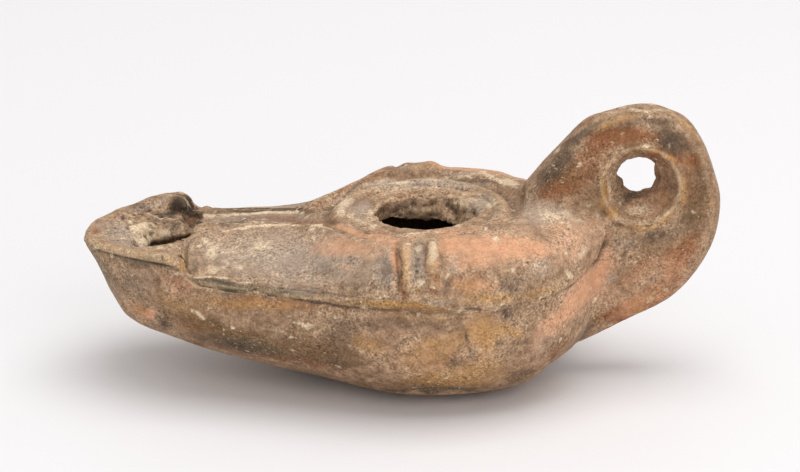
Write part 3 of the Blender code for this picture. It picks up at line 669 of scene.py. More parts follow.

# Fired clay
# Unglazed low-fired clay is quite matt. Its tan turns grey where smoke reached it and orange
# where air did. Handling left dark brown wear, the soil left ochre and crusts of pale lime, and
# the flame left soot. Painted shade darkens the hollows and the chamber, some dark, olive and soot
# patches are painted shadow in the seam, the crease and the wick hole, and one lime line is a
# painted highlight.

# Each stain is a patch as seen from the front, in millimetres from the view's centre: across, up,
# half length, half height, turn in degrees and strength.
STAINS = {
    # pale pink clay
    "buff": [
        (31.5, -11.5, 11.7, 2.7, 50, 1), (34.7, -7.9, 2.5, 5.4, -25, 1),
        (30.6, -1.6, 7.2, 3.6, 30, 0.9), (37.8, -10.6, 3.6, 3.6, 0, 0.5),
        (16.2, -2.5, 10.8, 4.5, 0, 0.5), (3.6, 9.2, 12.6, 1.4, 0, 0.4),
        (-9.9, 5.6, 2.5, 2.2, 0, 0.6), (5.4, -21.4, 9.0, 4.5, 10, 0.5),
        (15.3, -17.8, 4.3, 5.4, 0, 0.6), (-2.7, -16.6, 8.1, 1.8, 0, 0.4),
        (26.1, 3.8, 8.1, 3.2, -8, 0.6), (-45.0, 0.2, 4.3, 2.2, 10, 0.6),
        (-39.6, -9.2, 4.0, 1.8, -15, 0.7), (3.4, -4.7, 0.7, 2.9, 0, 0.6),
        (-40.3, -8.6, 2.2, 0.9, -20, 0.3), (-5.4, -19.6, 4.0, 2.2, -8, 0.3),
        (33.5, 11.5, 2.9, 4.3, 30, 0.5), (37.6, 7.9, 0.5, 3.6, 0, 0.5),
        (43.2, 5.0, 4.7, 2.2, 0, 0.8), (44.6, 7.2, 4.3, 3.2, 0, 0.7),
    ],
    # grey, where smoke and ash reached the clay
    "ash": [
        (-45.0, 5.9, 5.8, 1.1, 22, 0.7), (-50.8, 0.7, 4.0, 2.5, -30, 1.1),
        (-47.7, -1.3, 4.3, 1.3, -12, 0.7), (-47.7, -3.1, 8.1, 0.9, -10, 0.5),
        (-25.6, 3.2, 10.8, 0.9, 0, 1.2), (-19.8, -4.0, 20.2, 5.8, -4, 0.9),
        (-2.5, -5.8, 2.3, 3.6, 0, 1.1), (-18.0, -9.9, 7.2, 0.6, -8, 0.7),
        (3.4, -4.7, 1.2, 4.3, 0, 1.2), (7.2, -11.9, 4.5, 0.6, 0, 0.7),
        (9.7, -4.7, 1.6, 2.5, -10, 0.8), (20.2, -8.6, 3.2, 2.5, 0, 0.5),
        (25.6, -5.8, 3.2, 2.2, 10, 0.6), (26.1, 4.1, 7.2, 2.9, -8, 0.8),
        (3.6, 9.4, 14.0, 1.1, 0, 1.2), (-9.9, 5.6, 1.6, 2.5, -30, 0.7),
        (-6.8, 4.7, 2.3, 2.2, 0, 0.9), (-13.3, 6.5, 4.0, 0.9, 27, 0.5),
        (-2.7, 13.3, 6.5, 0.7, -14, 0.8), (12.6, 11.5, 7.2, 0.9, 6, 0.6),
        (14.4, 5.6, 3.2, 1.8, 30, 1), (-19.8, -19.1, 6.5, 2.2, -10, 0.4),
        (-47.7, -8.3, 4.7, 2.9, 20, 0.5), (-53.1, -7.2, 1.6, 4.7, 28, 0.4),
        (26.6, -18.7, 4.3, 1.8, 45, 0.5), (37.8, -7.4, 2.3, 1.6, 0, 0.6),
        (52.9, 7.9, 1.1, 5.4, 0, 0.55), (40.5, -1.6, 2.7, 1.6, 0, 0.5),
    ],
    # brown earth
    "umber": [
        (-45.0, 6.5, 6.1, 1.1, 22, 0.4), (-50.8, 1.1, 4.3, 2.5, -30, 0.15),
        (-25.6, 4.5, 8.3, 0.7, 0, 0.4), (-26.1, 3.2, 10.8, 0.7, 0, 0.5),
        (-18.0, 2.5, 7.2, 0.7, 0, 0.3), (-27.5, -9.3, 8.3, 0.7, -5, 0.8),
        (-3.6, -12.6, 11.5, 0.8, -3, 0.9), (-48.6, -8.3, 4.7, 2.2, 20, 0.45),
        (8.1, -22.7, 4.7, 2.5, 0, 0.3), (0.0, -12.6, 12.6, 0.7, -3, 0.9),
        (-27.0, -12.4, 12.6, 1.4, -3, 0.45), (-33.3, -16.6, 10.8, 2.5, -20, 0.9),
        (-18.0, -19.6, 9.0, 3.2, -12, 0.75), (5.4, -26.6, 13.3, 1.4, 0, 0.8),
        (7.2, -26.3, 7.9, 1.1, 0, 0.2), (-28.8, -18.7, 9.0, 1.8, -15, 0.7),
        (-10.8, -20.5, 5.4, 3.6, -20, 0.4), (21.6, -24.5, 3.6, 2.5, 30, 0.5),
        (-42.3, -11.9, 5.4, 1.8, -28, 0.2), (-18.0, -20.9, 10.8, 1.3, -10, 0.5),
        (27.9, -19.6, 4.3, 1.8, 45, 0.5), (-11.7, -22.0, 9.0, 1.6, -9, 0.4),
        (43.2, -11.5, 5.4, 1.4, 28, 0.25), (45.0, 15.8, 9.4, 3.6, 0, 0.6),
        (53.5, 7.9, 2.5, 9.0, 0, 0.6), (33.8, 7.4, 4.7, 4.7, 0, 0.5),
        (45.0, -2.2, 7.9, 4.0, 0, 0.4), (29.7, 10.4, 4.3, 2.2, 45, 0.9),
        (27.9, 9.2, 3.6, 2.2, 45, 0.4), (34.6, 11.9, 3.6, 2.5, 40, 0.6),
        (52.7, 5.6, 2.5, 5.4, 0, 0.7),
    ],
    # red iron in the clay
    "rust": [
        (-54.9, 0.7, 1.4, 0.9, 50, 0.7), (-51.8, 3.6, 2.2, 0.7, 25, 0.4),
        (-37.8, 3.1, 1.8, 0.5, 35, 0.6), (-37.6, 2.9, 2.0, 0.7, 38, 0.8),
        (-19.8, 2.9, 10.8, 0.7, 0, 0.55), (7.2, -22.3, 4.3, 2.3, 0, 0.3),
        (0.0, -13.7, 9.0, 0.9, 0, 0.3), (0.9, -9.4, 1.4, 2.2, 0, 1), (-0.7, -4.7, 0.6, 4.3, 0, 1),
        (5.8, -8.8, 1.4, 1.8, 0, 0.8), (6.1, -7.7, 1.1, 2.3, 0, 0.9),
        (12.6, -7.9, 5.4, 2.5, 0, 0.4), (20.2, -8.6, 2.7, 1.8, 0, 0.4),
        (-12.6, 7.0, 7.2, 0.8, 27, 0.7), (-4.5, 10.8, 4.5, 0.6, 20, 0.5),
        (0.0, 6.8, 4.9, 0.4, 15, 0.7), (-39.6, -8.6, 4.3, 1.6, -28, 0.45),
        (-23.4, -11.9, 14.4, 1.4, -4, 0.5), (-46.8, -13.1, 2.9, 1.1, -35, 0.6),
        (-38.3, -16.2, 2.5, 0.5, -15, 0.6), (-36.9, -19.3, 2.2, 0.7, -15, 0.7),
        (-18.0, -22.5, 9.4, 0.9, -8, 0.6), (28.8, -20.5, 4.7, 1.6, 45, 0.4),
        (43.2, -11.9, 7.6, 2.0, 28, 0.8), (38.2, -13.7, 4.7, 1.4, 25, 0.8),
        (45.0, -11.5, 6.5, 2.2, 30, 0.4), (40.0, -14.8, 2.9, 0.7, 25, 0.8),
        (33.3, 20.7, 2.7, 0.7, 28, 0.5), (26.1, 8.3, 2.9, 1.8, 40, 0.6),
        (28.1, 11.9, 2.5, 2.2, 50, 0.35), (35.6, 16.2, 6.1, 1.8, 32, 0.85),
        (46.8, 14.6, 4.7, 1.8, 20, 0.7), (36.0, 13.7, 6.1, 2.5, 35, 0.3),
        (32.4, 11.0, 4.3, 3.2, 40, 0.42), (41.8, 18.0, 7.2, 1.4, 0, 1),
        (37.8, 18.0, 4.3, 1.3, 10, 0.9), (38.2, 17.8, 4.7, 1.4, 10, 0.65),
        (52.2, 9.2, 1.6, 6.1, 0, 0.45), (50.0, 13.7, 2.2, 2.5, -30, 0.7),
        (37.1, -0.7, 2.2, 2.5, 0, 0.4), (29.3, 8.3, 4.0, 1.8, 0, 0.7),
        (52.9, 13.5, 1.4, 1.8, 0, 0.9), (50.9, -3.2, 5.4, 2.3, 50, 1),
        (43.2, -5.8, 7.2, 2.2, 35, 0.45),
    ],
    # clay that air reached in the kiln
    "orange": [
        (-9.0, -2.0, 8.3, 2.0, -8, 0.6), (-2.7, -0.4, 3.6, 1.4, -10, 0.55),
        (-12.6, -2.9, 4.5, 1.3, 0, 0.4), (-9.9, -5.8, 3.6, 0.9, 0, 0.35),
        (-1.1, -4.0, 0.9, 3.6, 0, 0.9), (1.1, -4.7, 0.9, 3.6, 0, 0.6),
        (1.6, -2.9, 0.5, 2.5, 0, 0.6), (6.1, -4.3, 1.1, 3.2, 0, 0.5), (17.1, -1.8, 9.4, 2.5, -2, 1),
        (12.6, -4.7, 4.7, 1.8, 0, 0.7), (23.4, -2.5, 3.2, 2.2, 0, 0.7),
        (9.0, -1.3, 2.2, 1.8, 0, 0.8), (7.2, 0.7, 9.0, 0.9, 8, 0.5), (13.3, -8.8, 6.1, 1.8, 0, 0.6),
        (28.8, 1.6, 2.7, 1.1, 0, 0.5), (-8.6, 0.9, 5.4, 0.7, -20, 0.8),
        (-23.4, -12.1, 14.4, 1.1, -4, 0.3), (-46.8, -13.3, 3.1, 1.3, -35, 0.35),
        (-45.4, -13.9, 0.9, 0.7, 0, 1), (31.1, -11.9, 11.2, 2.3, 50, 0.75),
        (35.3, -6.5, 1.4, 4.7, -25, 0.6), (43.2, -11.5, 8.3, 2.5, 28, 0.55),
        (50.0, -5.0, 4.3, 2.9, 50, 0.4), (43.2, -6.5, 5.8, 2.0, 30, 0.4),
    ],
    # yellow earth
    "ochre": [
        (-48.6, -2.5, 8.1, 1.1, -8, 0.5), (-41.0, -4.7, 2.5, 0.7, -8, 0.5),
        (-38.9, -4.7, 0.9, 2.5, -5, 0.8), (0.0, -12.2, 9.0, 0.8, -3, 1),
        (16.2, -11.2, 6.5, 1.1, 5, 0.7), (25.2, -10.6, 3.6, 1.1, 15, 0.6),
        (0.7, -5.4, 0.8, 3.6, 0, 1), (3.6, -9.9, 0.7, 0.7, 0, 0.8), (5.8, -4.7, 0.9, 3.2, 0, 0.6),
        (12.6, -9.0, 4.5, 2.0, 0, 0.45), (7.2, 12.8, 7.2, 0.6, 0, 0.6),
        (-26.1, -12.2, 12.6, 1.4, -3, 0.6), (3.6, -14.8, 10.8, 1.4, 0, 0.3),
        (7.2, -26.3, 7.9, 1.1, 0, 0.4), (-46.8, -13.1, 2.5, 0.9, -35, 0.4),
        (-39.6, -12.6, 7.2, 2.2, -28, 0.4), (-5.4, -19.6, 4.0, 2.3, -8, 0.55),
        (5.4, -21.4, 7.9, 2.7, 20, 0.55), (10.8, -25.2, 9.7, 1.8, 0, 0.6),
        (7.2, -18.7, 7.2, 1.8, 15, 0.45), (15.3, -17.8, 3.2, 4.0, 0, 0.9),
        (18.9, -16.9, 1.8, 1.8, 0, 0.8), (21.1, -17.8, 1.4, 1.1, 20, 0.9),
        (14.4, -23.4, 5.4, 1.8, 0, 0.5), (43.2, -11.5, 7.2, 1.8, 28, 0.3),
        (43.2, -13.1, 1.1, 0.5, 20, 0.9), (39.6, 21.1, 4.0, 0.7, 18, 0.8),
        (52.2, 19.1, 3.6, 0.7, -48, 0.6), (36.4, 19.4, 1.8, 0.5, 20, 0.8),
        (36.7, 7.9, 0.6, 4.3, 0, 1), (38.2, 3.8, 1.1, 1.8, 35, 1), (43.2, 1.6, 4.3, 0.6, 0, 0.8),
        (48.2, 3.4, 2.5, 0.6, 35, 0.9), (50.9, 8.3, 0.6, 4.0, 0, 0.9),
        (49.0, 13.9, 2.2, 0.6, -40, 0.8), (45.0, 15.5, 2.5, 0.5, -8, 0.7),
        (56.3, 6.5, 0.6, 5.4, 0, 0.5), (47.5, 6.5, 1.3, 2.2, 20, 0.5),
    ],
    # dirt and wear from handling; its thin lines under the nozzle's rim, along the seam, in the
    # crease and in the lug's slot are painted shadow
    "dark": [
        (-46.8, 5.6, 7.2, 1.1, -25, 0.5), (-43.6, 2.5, 3.6, 1.4, 10, 0.45),
        (-41.0, 1.4, 1.6, 1.3, 0, 0.6), (-40.0, -0.2, 2.5, 0.7, 25, 0.6),
        (-42.1, 4.0, 2.7, 0.9, 18, 0.8), (-40.3, 2.2, 2.2, 0.7, 25, 0.6),
        (-43.2, 0.0, 0.5, 0.4, 0, 0.9), (-41.2, 1.3, 0.6, 0.4, 20, 0.9),
        (-45.0, 1.8, 0.4, 0.4, 0, 0.8), (-39.6, 2.2, 0.7, 0.4, 0, 0.9),
        (-42.1, -0.9, 0.4, 0.3, 0, 0.9), (-43.9, 1.1, 0.4, 0.3, 0, 0.8),
        (-38.5, 3.1, 0.9, 0.5, 20, 0.8), (-45.0, -5.2, 8.1, 0.7, -10, 0.6),
        (-24.8, 4.7, 11.9, 0.8, 0, 0.9), (-25.6, 4.5, 9.0, 0.7, 0, 0.4),
        (-31.5, 2.5, 5.4, 0.5, 3, 0.5), (-37.1, -4.7, 0.7, 2.5, 0, 0.5),
        (-27.0, -4.7, 1.6, 1.1, 0, 0.4), (-7.2, -9.0, 4.7, 1.3, -8, 0.4),
        (-13.5, -6.5, 3.6, 1.3, -5, 0.35), (-2.5, -5.8, 1.8, 3.2, 0, 0.6),
        # The next four thin lines, along the seam, are painted shadow under the seam's lip.
        (-32.8, -8.5, 5.4, 0.3, -7, 0.8), (-24.8, -10.1, 8.3, 0.3, -6, 1.3),
        (-15.5, -11.8, 7.6, 0.3, -9, 0.9), (12.6, -13.5, 4.0, 0.2, 4, 1.2),
        (3.4, -5.0, 0.4, 1.6, 0, 0.15), (3.6, -4.0, 0.4, 0.3, 0, 1.1),
        (3.8, -4.9, 0.3, 0.3, 0, 1.3), (3.3, -6.1, 0.4, 0.3, 0, 1.3), (3.1, -5.0, 0.3, 0.2, 0, 1.2),
        (3.8, -7.2, 0.3, 0.4, 0, 1.1), (3.6, -7.0, 0.3, 0.2, 0, 1.1), (4.8, -4.0, 0.2, 3.2, 0, 0.7),
        (7.4, -4.7, 0.3, 4.0, 0, 0.5), (0.0, -4.7, 0.2, 2.7, 0, 0.9), (0.2, -7.2, 0.4, 1.1, 0, 1),
        (8.5, -9.2, 1.1, 2.3, 0, 0.5), (20.2, -8.6, 2.7, 2.0, 0, 0.6),
        (36.4, -1.6, 0.6, 2.5, -20, 0.35), (12.6, 10.4, 9.0, 0.5, -8, 0.7),
        (-9.0, 7.7, 4.0, 0.5, 42, 0.7), (-6.1, 0.5, 0.7, 0.3, -25, 1.2),
        (-12.1, 2.5, 0.9, 0.7, 0, 0.7), (1.8, 5.0, 4.7, 1.4, 0, 0.5),
        (-42.7, -15.5, 2.2, 1.4, -30, 0.8), (-34.2, -15.1, 7.2, 1.4, -12, 0.35),
        (-29.7, -19.8, 10.4, 1.4, -12, 0.7), (-1.8, -16.0, 13.0, 1.4, -2, 0.5),
        (-11.2, -18.7, 4.3, 4.0, -20, 0.5), (-11.7, -22.7, 9.0, 1.1, -9, 0.4),
        (11.9, -18.5, 0.4, 2.2, 10, 0.9), (13.1, -21.4, 0.4, 1.6, 30, 0.9),
        (3.2, -25.4, 0.9, 0.2, 0, 1.1), (10.1, -22.7, 2.3, 1.4, 0, 0.55),
        (18.9, -13.7, 1.4, 1.8, 0, 0.8), (18.0, -19.6, 1.3, 0.7, 20, 0.7),
        (5.4, -27.7, 13.5, 0.7, 0, 0.8), (21.6, -25.2, 3.2, 1.4, 20, 0.6),
        (33.3, -17.3, 4.7, 0.9, 42, 0.6), (27.9, 12.4, 6.1, 2.2, 52, 0.9),
        (33.3, 18.7, 4.7, 0.8, 30, 0.9), (45.9, 20.7, 4.7, 0.7, -8, 0.6),
        (41.4, 7.2, 2.9, 0.9, 15, 0.8), (40.0, 5.6, 0.9, 2.2, -20, 0.5),
        (48.6, 17.3, 4.3, 2.3, -30, 1), (54.5, 9.0, 1.1, 2.5, 0, 0.35),
        (52.2, 2.5, 2.5, 4.3, 0, 0.4), (45.9, -0.4, 4.7, 1.6, 15, 0.6),
    ],
    # crusts of lime, and its single flakes at the end; the thin line along the filling hole's near
    # rim is a painted highlight
    "lime": [
        (-42.3, 6.7, 2.3, 0.9, 20, 0.35), (-38.7, 7.9, 1.8, 0.7, 0, 0.6),
        (-43.6, 0.0, 2.5, 1.3, 20, 0.8), (-46.8, 1.4, 2.2, 1.6, 0, 0.7),
        (-48.1, 2.0, 1.3, 1.1, 0, 0.8), (-46.3, -0.7, 1.8, 1.4, 0, 0.8),
        (-44.1, -2.0, 2.2, 0.9, -5, 0.8), (-46.4, 0.0, 2.3, 0.9, 0, 0.7),
        (-45.7, 1.3, 2.2, 1.6, 20, 0.7), (-42.3, 0.5, 2.5, 1.4, 25, 0.45),
        (-40.5, -0.7, 2.7, 1.6, 35, 0.35), (-45.0, -3.8, 5.4, 0.6, -8, 0.35),
        (-54.5, -2.5, 0.9, 0.5, 0, 1), (-34.6, 3.6, 1.8, 0.9, 0, 0.7),
        (-23.4, 4.0, 12.6, 0.3, 1, 1), (-24.3, 1.8, 11.2, 0.3, 3, 1),
        (-14.0, 2.0, 2.5, 0.4, -12, 1), (-28.8, -3.4, 9.0, 3.6, 0, 0.42),
        (-24.3, -1.3, 1.8, 1.6, 0, 0.7), (-33.7, -2.5, 1.4, 1.3, 0, 0.7),
        (-35.1, -0.5, 1.1, 0.9, 0, 0.7), (-33.3, -6.1, 2.7, 1.4, 0, 0.5),
        (-29.2, -5.8, 0.9, 0.7, 0, 0.7), (-15.5, -0.2, 0.9, 0.4, 10, 1.2),
        (-16.2, 1.3, 1.1, 0.5, 20, 0.8), (-12.6, -1.3, 0.9, 0.4, 0, 0.8),
        (-22.0, -7.0, 1.6, 0.9, 0, 0.6), (-29.2, -8.1, 8.1, 0.3, -4, 0.7),
        (-2.5, -11.0, 2.2, 0.4, 5, 0.7), (-33.3, -7.8, 4.7, 0.2, -3, 0.9),
        (-6.3, -12.6, 1.1, 0.7, 0, 0.9), (0.9, -3.2, 0.6, 2.5, 0, 0.65),
        (3.4, -1.8, 1.1, 1.6, 0, 0.5), (3.4, -8.8, 0.7, 0.9, 0, 0.8), (3.2, -2.5, 0.7, 1.4, 0, 0.7),
        (3.6, -8.3, 0.7, 0.7, 0, 1.1), (5.9, -2.9, 0.9, 2.5, 0, 0.9), (6.1, -2.5, 0.7, 1.8, 0, 0.6),
        (5.6, -6.1, 0.7, 0.5, 0, 1), (3.2, -6.1, 0.6, 2.9, 0, 0.25),
        (8.3, -7.2, 0.4, 1.4, -25, 0.6), (29.2, 3.2, 5.4, 2.0, -18, 0.4),
        (32.8, -2.9, 4.0, 0.9, 45, 0.6), (0.0, 8.3, 7.2, 0.9, 4, 0.45),
        (9.0, 8.8, 5.4, 0.9, 4, 0.45), (0.9, 9.9, 11.7, 0.6, 5, 0.7),
        (-9.9, 5.4, 1.4, 2.5, -30, 0.7), (16.9, 5.9, 1.1, 2.2, 25, 0.6),
        (27.4, 3.8, 5.8, 2.2, -10, 0.35), (-13.0, 6.7, 3.6, 0.7, 27, 0.5),
        (16.2, 11.0, 2.2, 0.7, -25, 0.9), (19.4, 9.7, 2.2, 0.9, -30, 0.9),
        (1.8, 13.1, 2.2, 0.4, 5, 1), (-5.4, 4.3, 0.7, 0.5, 0, 1.1), (-5.0, 2.0, 0.7, 0.5, 0, 1),
        # The second patch here is a painted highlight along the filling hole's near rim.
        (-6.8, 2.5, 5.4, 0.5, -24, 0.5), (2.7, 0.5, 6.1, 0.3, 0, 0.8),
        (10.4, 1.8, 2.9, 0.3, -22, 0.7), (9.9, 5.9, 3.6, 1.6, 0, 0.5),
        (-3.1, 13.7, 4.7, 0.5, -14, 0.4), (13.5, 11.5, 7.2, 0.5, 6, 0.5),
        (13.0, 6.8, 3.2, 1.3, 20, 0.5), (16.2, 5.2, 2.5, 0.7, 30, 0.5),
        (-23.4, -14.8, 1.8, 0.7, -10, 0.3), (-27.9, -11.5, 1.4, 0.5, 0, 0.4),
        (-48.1, -7.0, 0.7, 0.2, 45, 0.9), (-41.4, -9.7, 2.2, 1.3, -20, 0.3),
        (-37.0, -13.4, 0.6, 0.4, -25, 1.3), (-36.1, -13.9, 0.9, 0.4, -35, 1.3),
        (-35.3, -14.5, 0.5, 0.3, 0, 1.2), (-34.0, -15.8, 0.6, 0.4, 0, 0.8),
        (-30.1, -16.0, 0.4, 0.8, 20, 1.3), (-30.4, -15.3, 0.4, 0.3, 0, 1.3),
        (-17.6, -16.2, 1.6, 0.3, 0, 1.3), (-16.4, -15.8, 0.6, 0.4, 10, 1.3),
        (-19.1, -15.9, 0.9, 0.4, -30, 1.3), (-20.2, -14.9, 0.8, 0.4, -45, 1.3),
        (-22.5, -16.6, 2.3, 1.3, -10, 0.5), (44.6, -11.0, 1.6, 1.3, 30, 0.6),
        (43.2, 22.7, 5.8, 0.7, -8, 0.7), (28.4, 15.7, 1.1, 0.6, 50, 1.1),
        (29.9, 17.5, 1.1, 0.4, 50, 0.8), (37.5, 7.9, 0.5, 3.6, 0, 0.6),
        (43.2, 4.9, 3.6, 1.3, 0, 0.8), (48.2, 4.3, 2.2, 0.5, 35, 0.7),
        (39.6, 2.5, 2.5, 0.5, -30, 0.6), (17.3, -0.4, 1.1, 0.6, -12, 1.3),
        (30.6, -7.0, 0.9, 0.6, -35, 1.3), (19.1, -5.8, 0.5, 0.3, -15, 1.2),
        (24.3, -5.6, 0.7, 0.4, -30, 1.2), (30.1, -3.2, 0.4, 0.3, 0, 1.2),
        (34.4, -9.4, 0.3, 0.3, 0, 1.2), (44.1, 16.2, 0.9, 0.5, 25, 1.2),
        (21.8, 7.6, 0.4, 0.3, 0, 1.2), (11.2, 7.9, 0.6, 0.3, -5, 1.1),
    ],
    # black from the flame, partly real soot and partly painted shade in the wick hole's deep
    # undercut
    "soot": [
        (-39.6, 5.8, 2.5, 1.4, 20, 1.7), (-37.6, 5.6, 0.9, 2.0, -35, 1.5),
        (-38.2, 5.0, 1.4, 1.4, 0, 1.2), (-37.3, 4.5, 1.8, 1.4, 0, 1.5),
        (-41.0, 4.1, 1.4, 0.9, 20, 0.5),
    ],
    # a greenish film of earth; its thin lines under the nozzle's rim and along the seam are painted
    # shadow
    "olive": [
        (-46.8, -4.2, 8.3, 0.5, -9, 0.8), (-31.3, -9.0, 7.2, 1.0, -8, 1.1),
        (-20.7, -10.1, 6.1, 0.7, -8, 0.8), (-27.0, -19.8, 10.1, 1.8, -14, 0.6),
        (-54.4, -5.4, 1.6, 4.7, 28, 0.7), (-47.5, -9.7, 7.2, 2.2, -34, 0.3),
    ],
}
# The fade of a patch's edge, and how far and in what bumps it wavers, in front and behind.
# Behind, where there is no source, the front's stains are repeated, drifted and weaker.
PATCH_FADE = (0.0, 1.5)
WAVER_SEEDS = (11, 12)
NEAR_WAVER = (0.5, 2.6)
FAR_WAVER = (2.5, 6.0)
FAR_DRIFT, DRIFT_SIZE, DRIFT_SEED = 3.0, 14.0, 5
FAR_STRENGTH = 0.8
SHOWN = (-0.05, 0.25)
# The underside, which neither view shows, has clouds of each kind but soot.
LOW_SIDE = (0.0, 0.2)
CLOUD_WAVES = ((8.0, 1.0, 20), (3.0, 0.5, 40))
CLOUDS = (0.2, 0.9)
CLOUD_STRENGTH = 0.6
# How strongly the chamber's inside is painted dark, as painted shade.
CHAMBER_PAINTED_SHADE = 0.9
# Light reaches the finger hole from both ends, so the painted shade in hollows is weaker in it.
THROAT_LIT = (7.4, 6.6)
THROAT_LIGHT = 0.7


def stained(across, up, rows, waver, size):
    """How strongly each point carries one kind of stain, with wavering edges."""
    place = np.column_stack([across, up, np.zeros(len(across))])
    across = across + waver * ripple(place, size, WAVER_SEEDS[0])
    up = up + waver * ripple(place, size, WAVER_SEEDS[1])
    total = np.zeros(len(across))
    for a, b, length, height, turn, strength in rows:
        cos, sin = math.cos(math.radians(turn)), math.sin(math.radians(turn))
        along = ((across - a) * cos + (up - b) * sin) / length
        off = ((up - b) * cos - (across - a) * sin) / height
        patch = strength * (1.0 - smooth(*PATCH_FADE, np.hypot(along, off)))
        total = total + patch - total * np.minimum(patch, 1.0)
    return total


points, normals = read_points(finished)
points[:, 2] = np.maximum(points[:, 2], 0.0)
write_points(finished, points)
x, y, z = points.T
# What is known of the fine mesh goes over to the thinned one's points.
tree = kdtree.KDTree(len(dense))
for i, place in enumerate(dense):
    tree.insert(place, i)
tree.balance()
nearest = np.array([tree.find(place)[1] for place in points])
hollow = hollow[nearest]
chamber = chamber[nearest]
in_throat = smooth(*THROAT_LIT, np.hypot(x - HOLE_X, z - HOLE_Z)) * (x > HANDLE_X)
hollow *= 1.0 - THROAT_LIGHT * in_throat
to_viewer = np.array(toward_camera)
near_shown, far_shown = [smooth(*SHOWN, normals @ (to_viewer * [1, side, 1])) for side in (1, -1)]
low_side = 1.0 - smooth(*LOW_SIDE, np.maximum(near_shown, far_shown))
for i, (kind, rows) in enumerate(STAINS.items()):
    near = stained(*seen_from(1, points), rows, *NEAR_WAVER)
    drifted = points + FAR_DRIFT * ripple(points, DRIFT_SIZE, DRIFT_SEED)[:, None]
    far = stained(*seen_from(-1, drifted), rows, *FAR_WAVER)
    value = np.where(near_shown >= far_shown, near * near_shown, FAR_STRENGTH * far * far_shown)
    if kind != "soot":
        cloud = sum(share * ripple(points, size, seed + i) for size, share, seed in CLOUD_WAVES)
        value = np.maximum(value, CLOUD_STRENGTH * low_side * smooth(*CLOUDS, cloud))
    # Painted shade: the chamber's inside takes the dark colour and no other stain.
    value[chamber] = CHAMBER_PAINTED_SHADE if kind == "dark" else 0.0
    finished.attributes.new(kind, "FLOAT", "POINT").data.foreach_set("value", value)
finished.attributes.new("hollow", "FLOAT", "POINT").data.foreach_set("value", hollow)

# Firing clouds a few millimetres wide, the mottling of the mixed clay, and its grit: size, detail
# and roughness. Real grit is 0.1 to 0.3 mm and a pixel is 0.18 mm, so it is drawn coarser.
PATTERNS = {"cloud": (7.0, 3.0, 0.55), "mottle": (1.6, 5.0, 0.65), "grain": (0.40, 3.0, 0.6)}
NOISE_MIDDLE = 0.5
CLOUD_SHARE, MOTTLE_SHARE = 0.45, 0.55
CLAY_TONES = {0.32: "#7f6148", 0.50: "#a5866a", 0.68: "#c0a182"}
# Soft passages: the pattern that each reads, from where to where it runs, and what it gives. The
# clay is calmer where it is orange and where the clouds are dark.
PASSAGES = {
    "calm": ("orange", 0.2, 0.8, 1.0, 0.45),
    "patchy": ("cloud", 0.40, 0.60, 0.35, 1.0),
    "uneven": ("cloud", 0.36, 0.62, 0.35, 1.0),
    "grainy": ("grain", 0.3, 0.7, -0.38, 0.38),
    "mottled": ("mottle", 0.3, 0.7, 0.88, 1.12),
}
# Each kind's colour and strength, in the order in which they lie on each other. Dark, olive
# and soot also carry painted shade and shadow, and lime a painted highlight, where their lists say.
STAIN_TONES = {
    "buff": ("#c79d7f", 0.85),
    "ash": ("#a89584", 0.85),
    "umber": ("#715233", 0.85),
    "olive": ("#6f6550", 0.85),
    "rust": ("#875332", 0.85),
    "orange": ("#d8a07b", 0.9),
    "ochre": ("#b68952", 0.8),
    "dark": ("#4a3d32", 0.85),
    "lime": ("#dcc4a4", 0.9),
    "soot": ("#2b211a", 0.95),
}
# A stain's edge is a soft passage that is torn this much. Lime lies in sharper, more torn crusts.
STAIN_EDGE = ((-0.05, 1.0), 0.9)
LIME_EDGE = ((0.25, 0.85), 1.9)
STAIN_START = (0.02, 0.35)
STAIN_DETAIL, STAIN_ROUGHNESS = 6.0, 0.7
# Each kind's noise is moved by its number times this, so no two kinds tear alike.
STAIN_SHIFT = np.array([31.0, 17.0, 0.0]) * MM
# Hollows are painted darker, as painted shade, and worn edges paler: the passage, the colour and
# its strength.
SHADE_AND_WORN_EDGE_TONES = (((0.02, 0.18), "#3d2d20", 0.75), ((-0.05, -0.22), "#c7ab87", 0.5))
HOLLOW_CRUMB = 0.05
# Grit and specks: spacing in millimetres, colour, strength and how rare they are.
FLECKS = [
    (1.1, "#3f2f22", 0.65, 0.58),
    (0.6, "#4a3829", 0.50, 0.62),
    (0.7, "#d9bf9d", 0.60, 0.60),
    (1.7, "#dcc7a8", 0.75, 0.70),
]
FLECK_EDGE = (0.34, 0.16)
FLECK_STEP = 0.06
# The noise that bends the specks out of round: its size, detail and reach.
WARP_SIZE, WARP_DETAIL, WARP = 0.9, 2.0, 1.8
# The unglazed surface, and its grain's bump and depth.
MATT_CLAY = {"Roughness": 0.82, "IOR": 1.45, "Specular IOR Level": 0.3}
GRAIN_BUMP, GRAIN_DEPTH = 0.5, 0.15
# The sockets of a Mix node that take and give colours.
UNDER, OVER, MIXED = 6, 7, 2

fired_clay.use_nodes = True
clay = fired_clay.node_tree
shader = clay.nodes["Principled BSDF"]
for name, value in MATT_CLAY.items():
    shader.inputs[name].default_value = value
place = node(clay, "ShaderNodeTexCoord").outputs["Object"]
patterns = {kind: node(clay, "ShaderNodeAttribute", attribute_name=kind).outputs["Fac"]
            for kind in (*STAIN_TONES, "hollow")}
for name, (size, detail, roughness) in PATTERNS.items():
    patterns[name] = node(clay, "ShaderNodeTexNoise", {
        "Vector": place, "Scale": 1.0 / (size * MM), "Detail": detail, "Roughness": roughness})
for name, (pattern, start, end, low, high) in PASSAGES.items():
    patterns[name] = node(clay, "ShaderNodeMapRange", {
        "Value": patterns[pattern], "From Min": start, "From Max": end, "To Min": low,
        "To Max": high}, interpolation_type="SMOOTHSTEP")

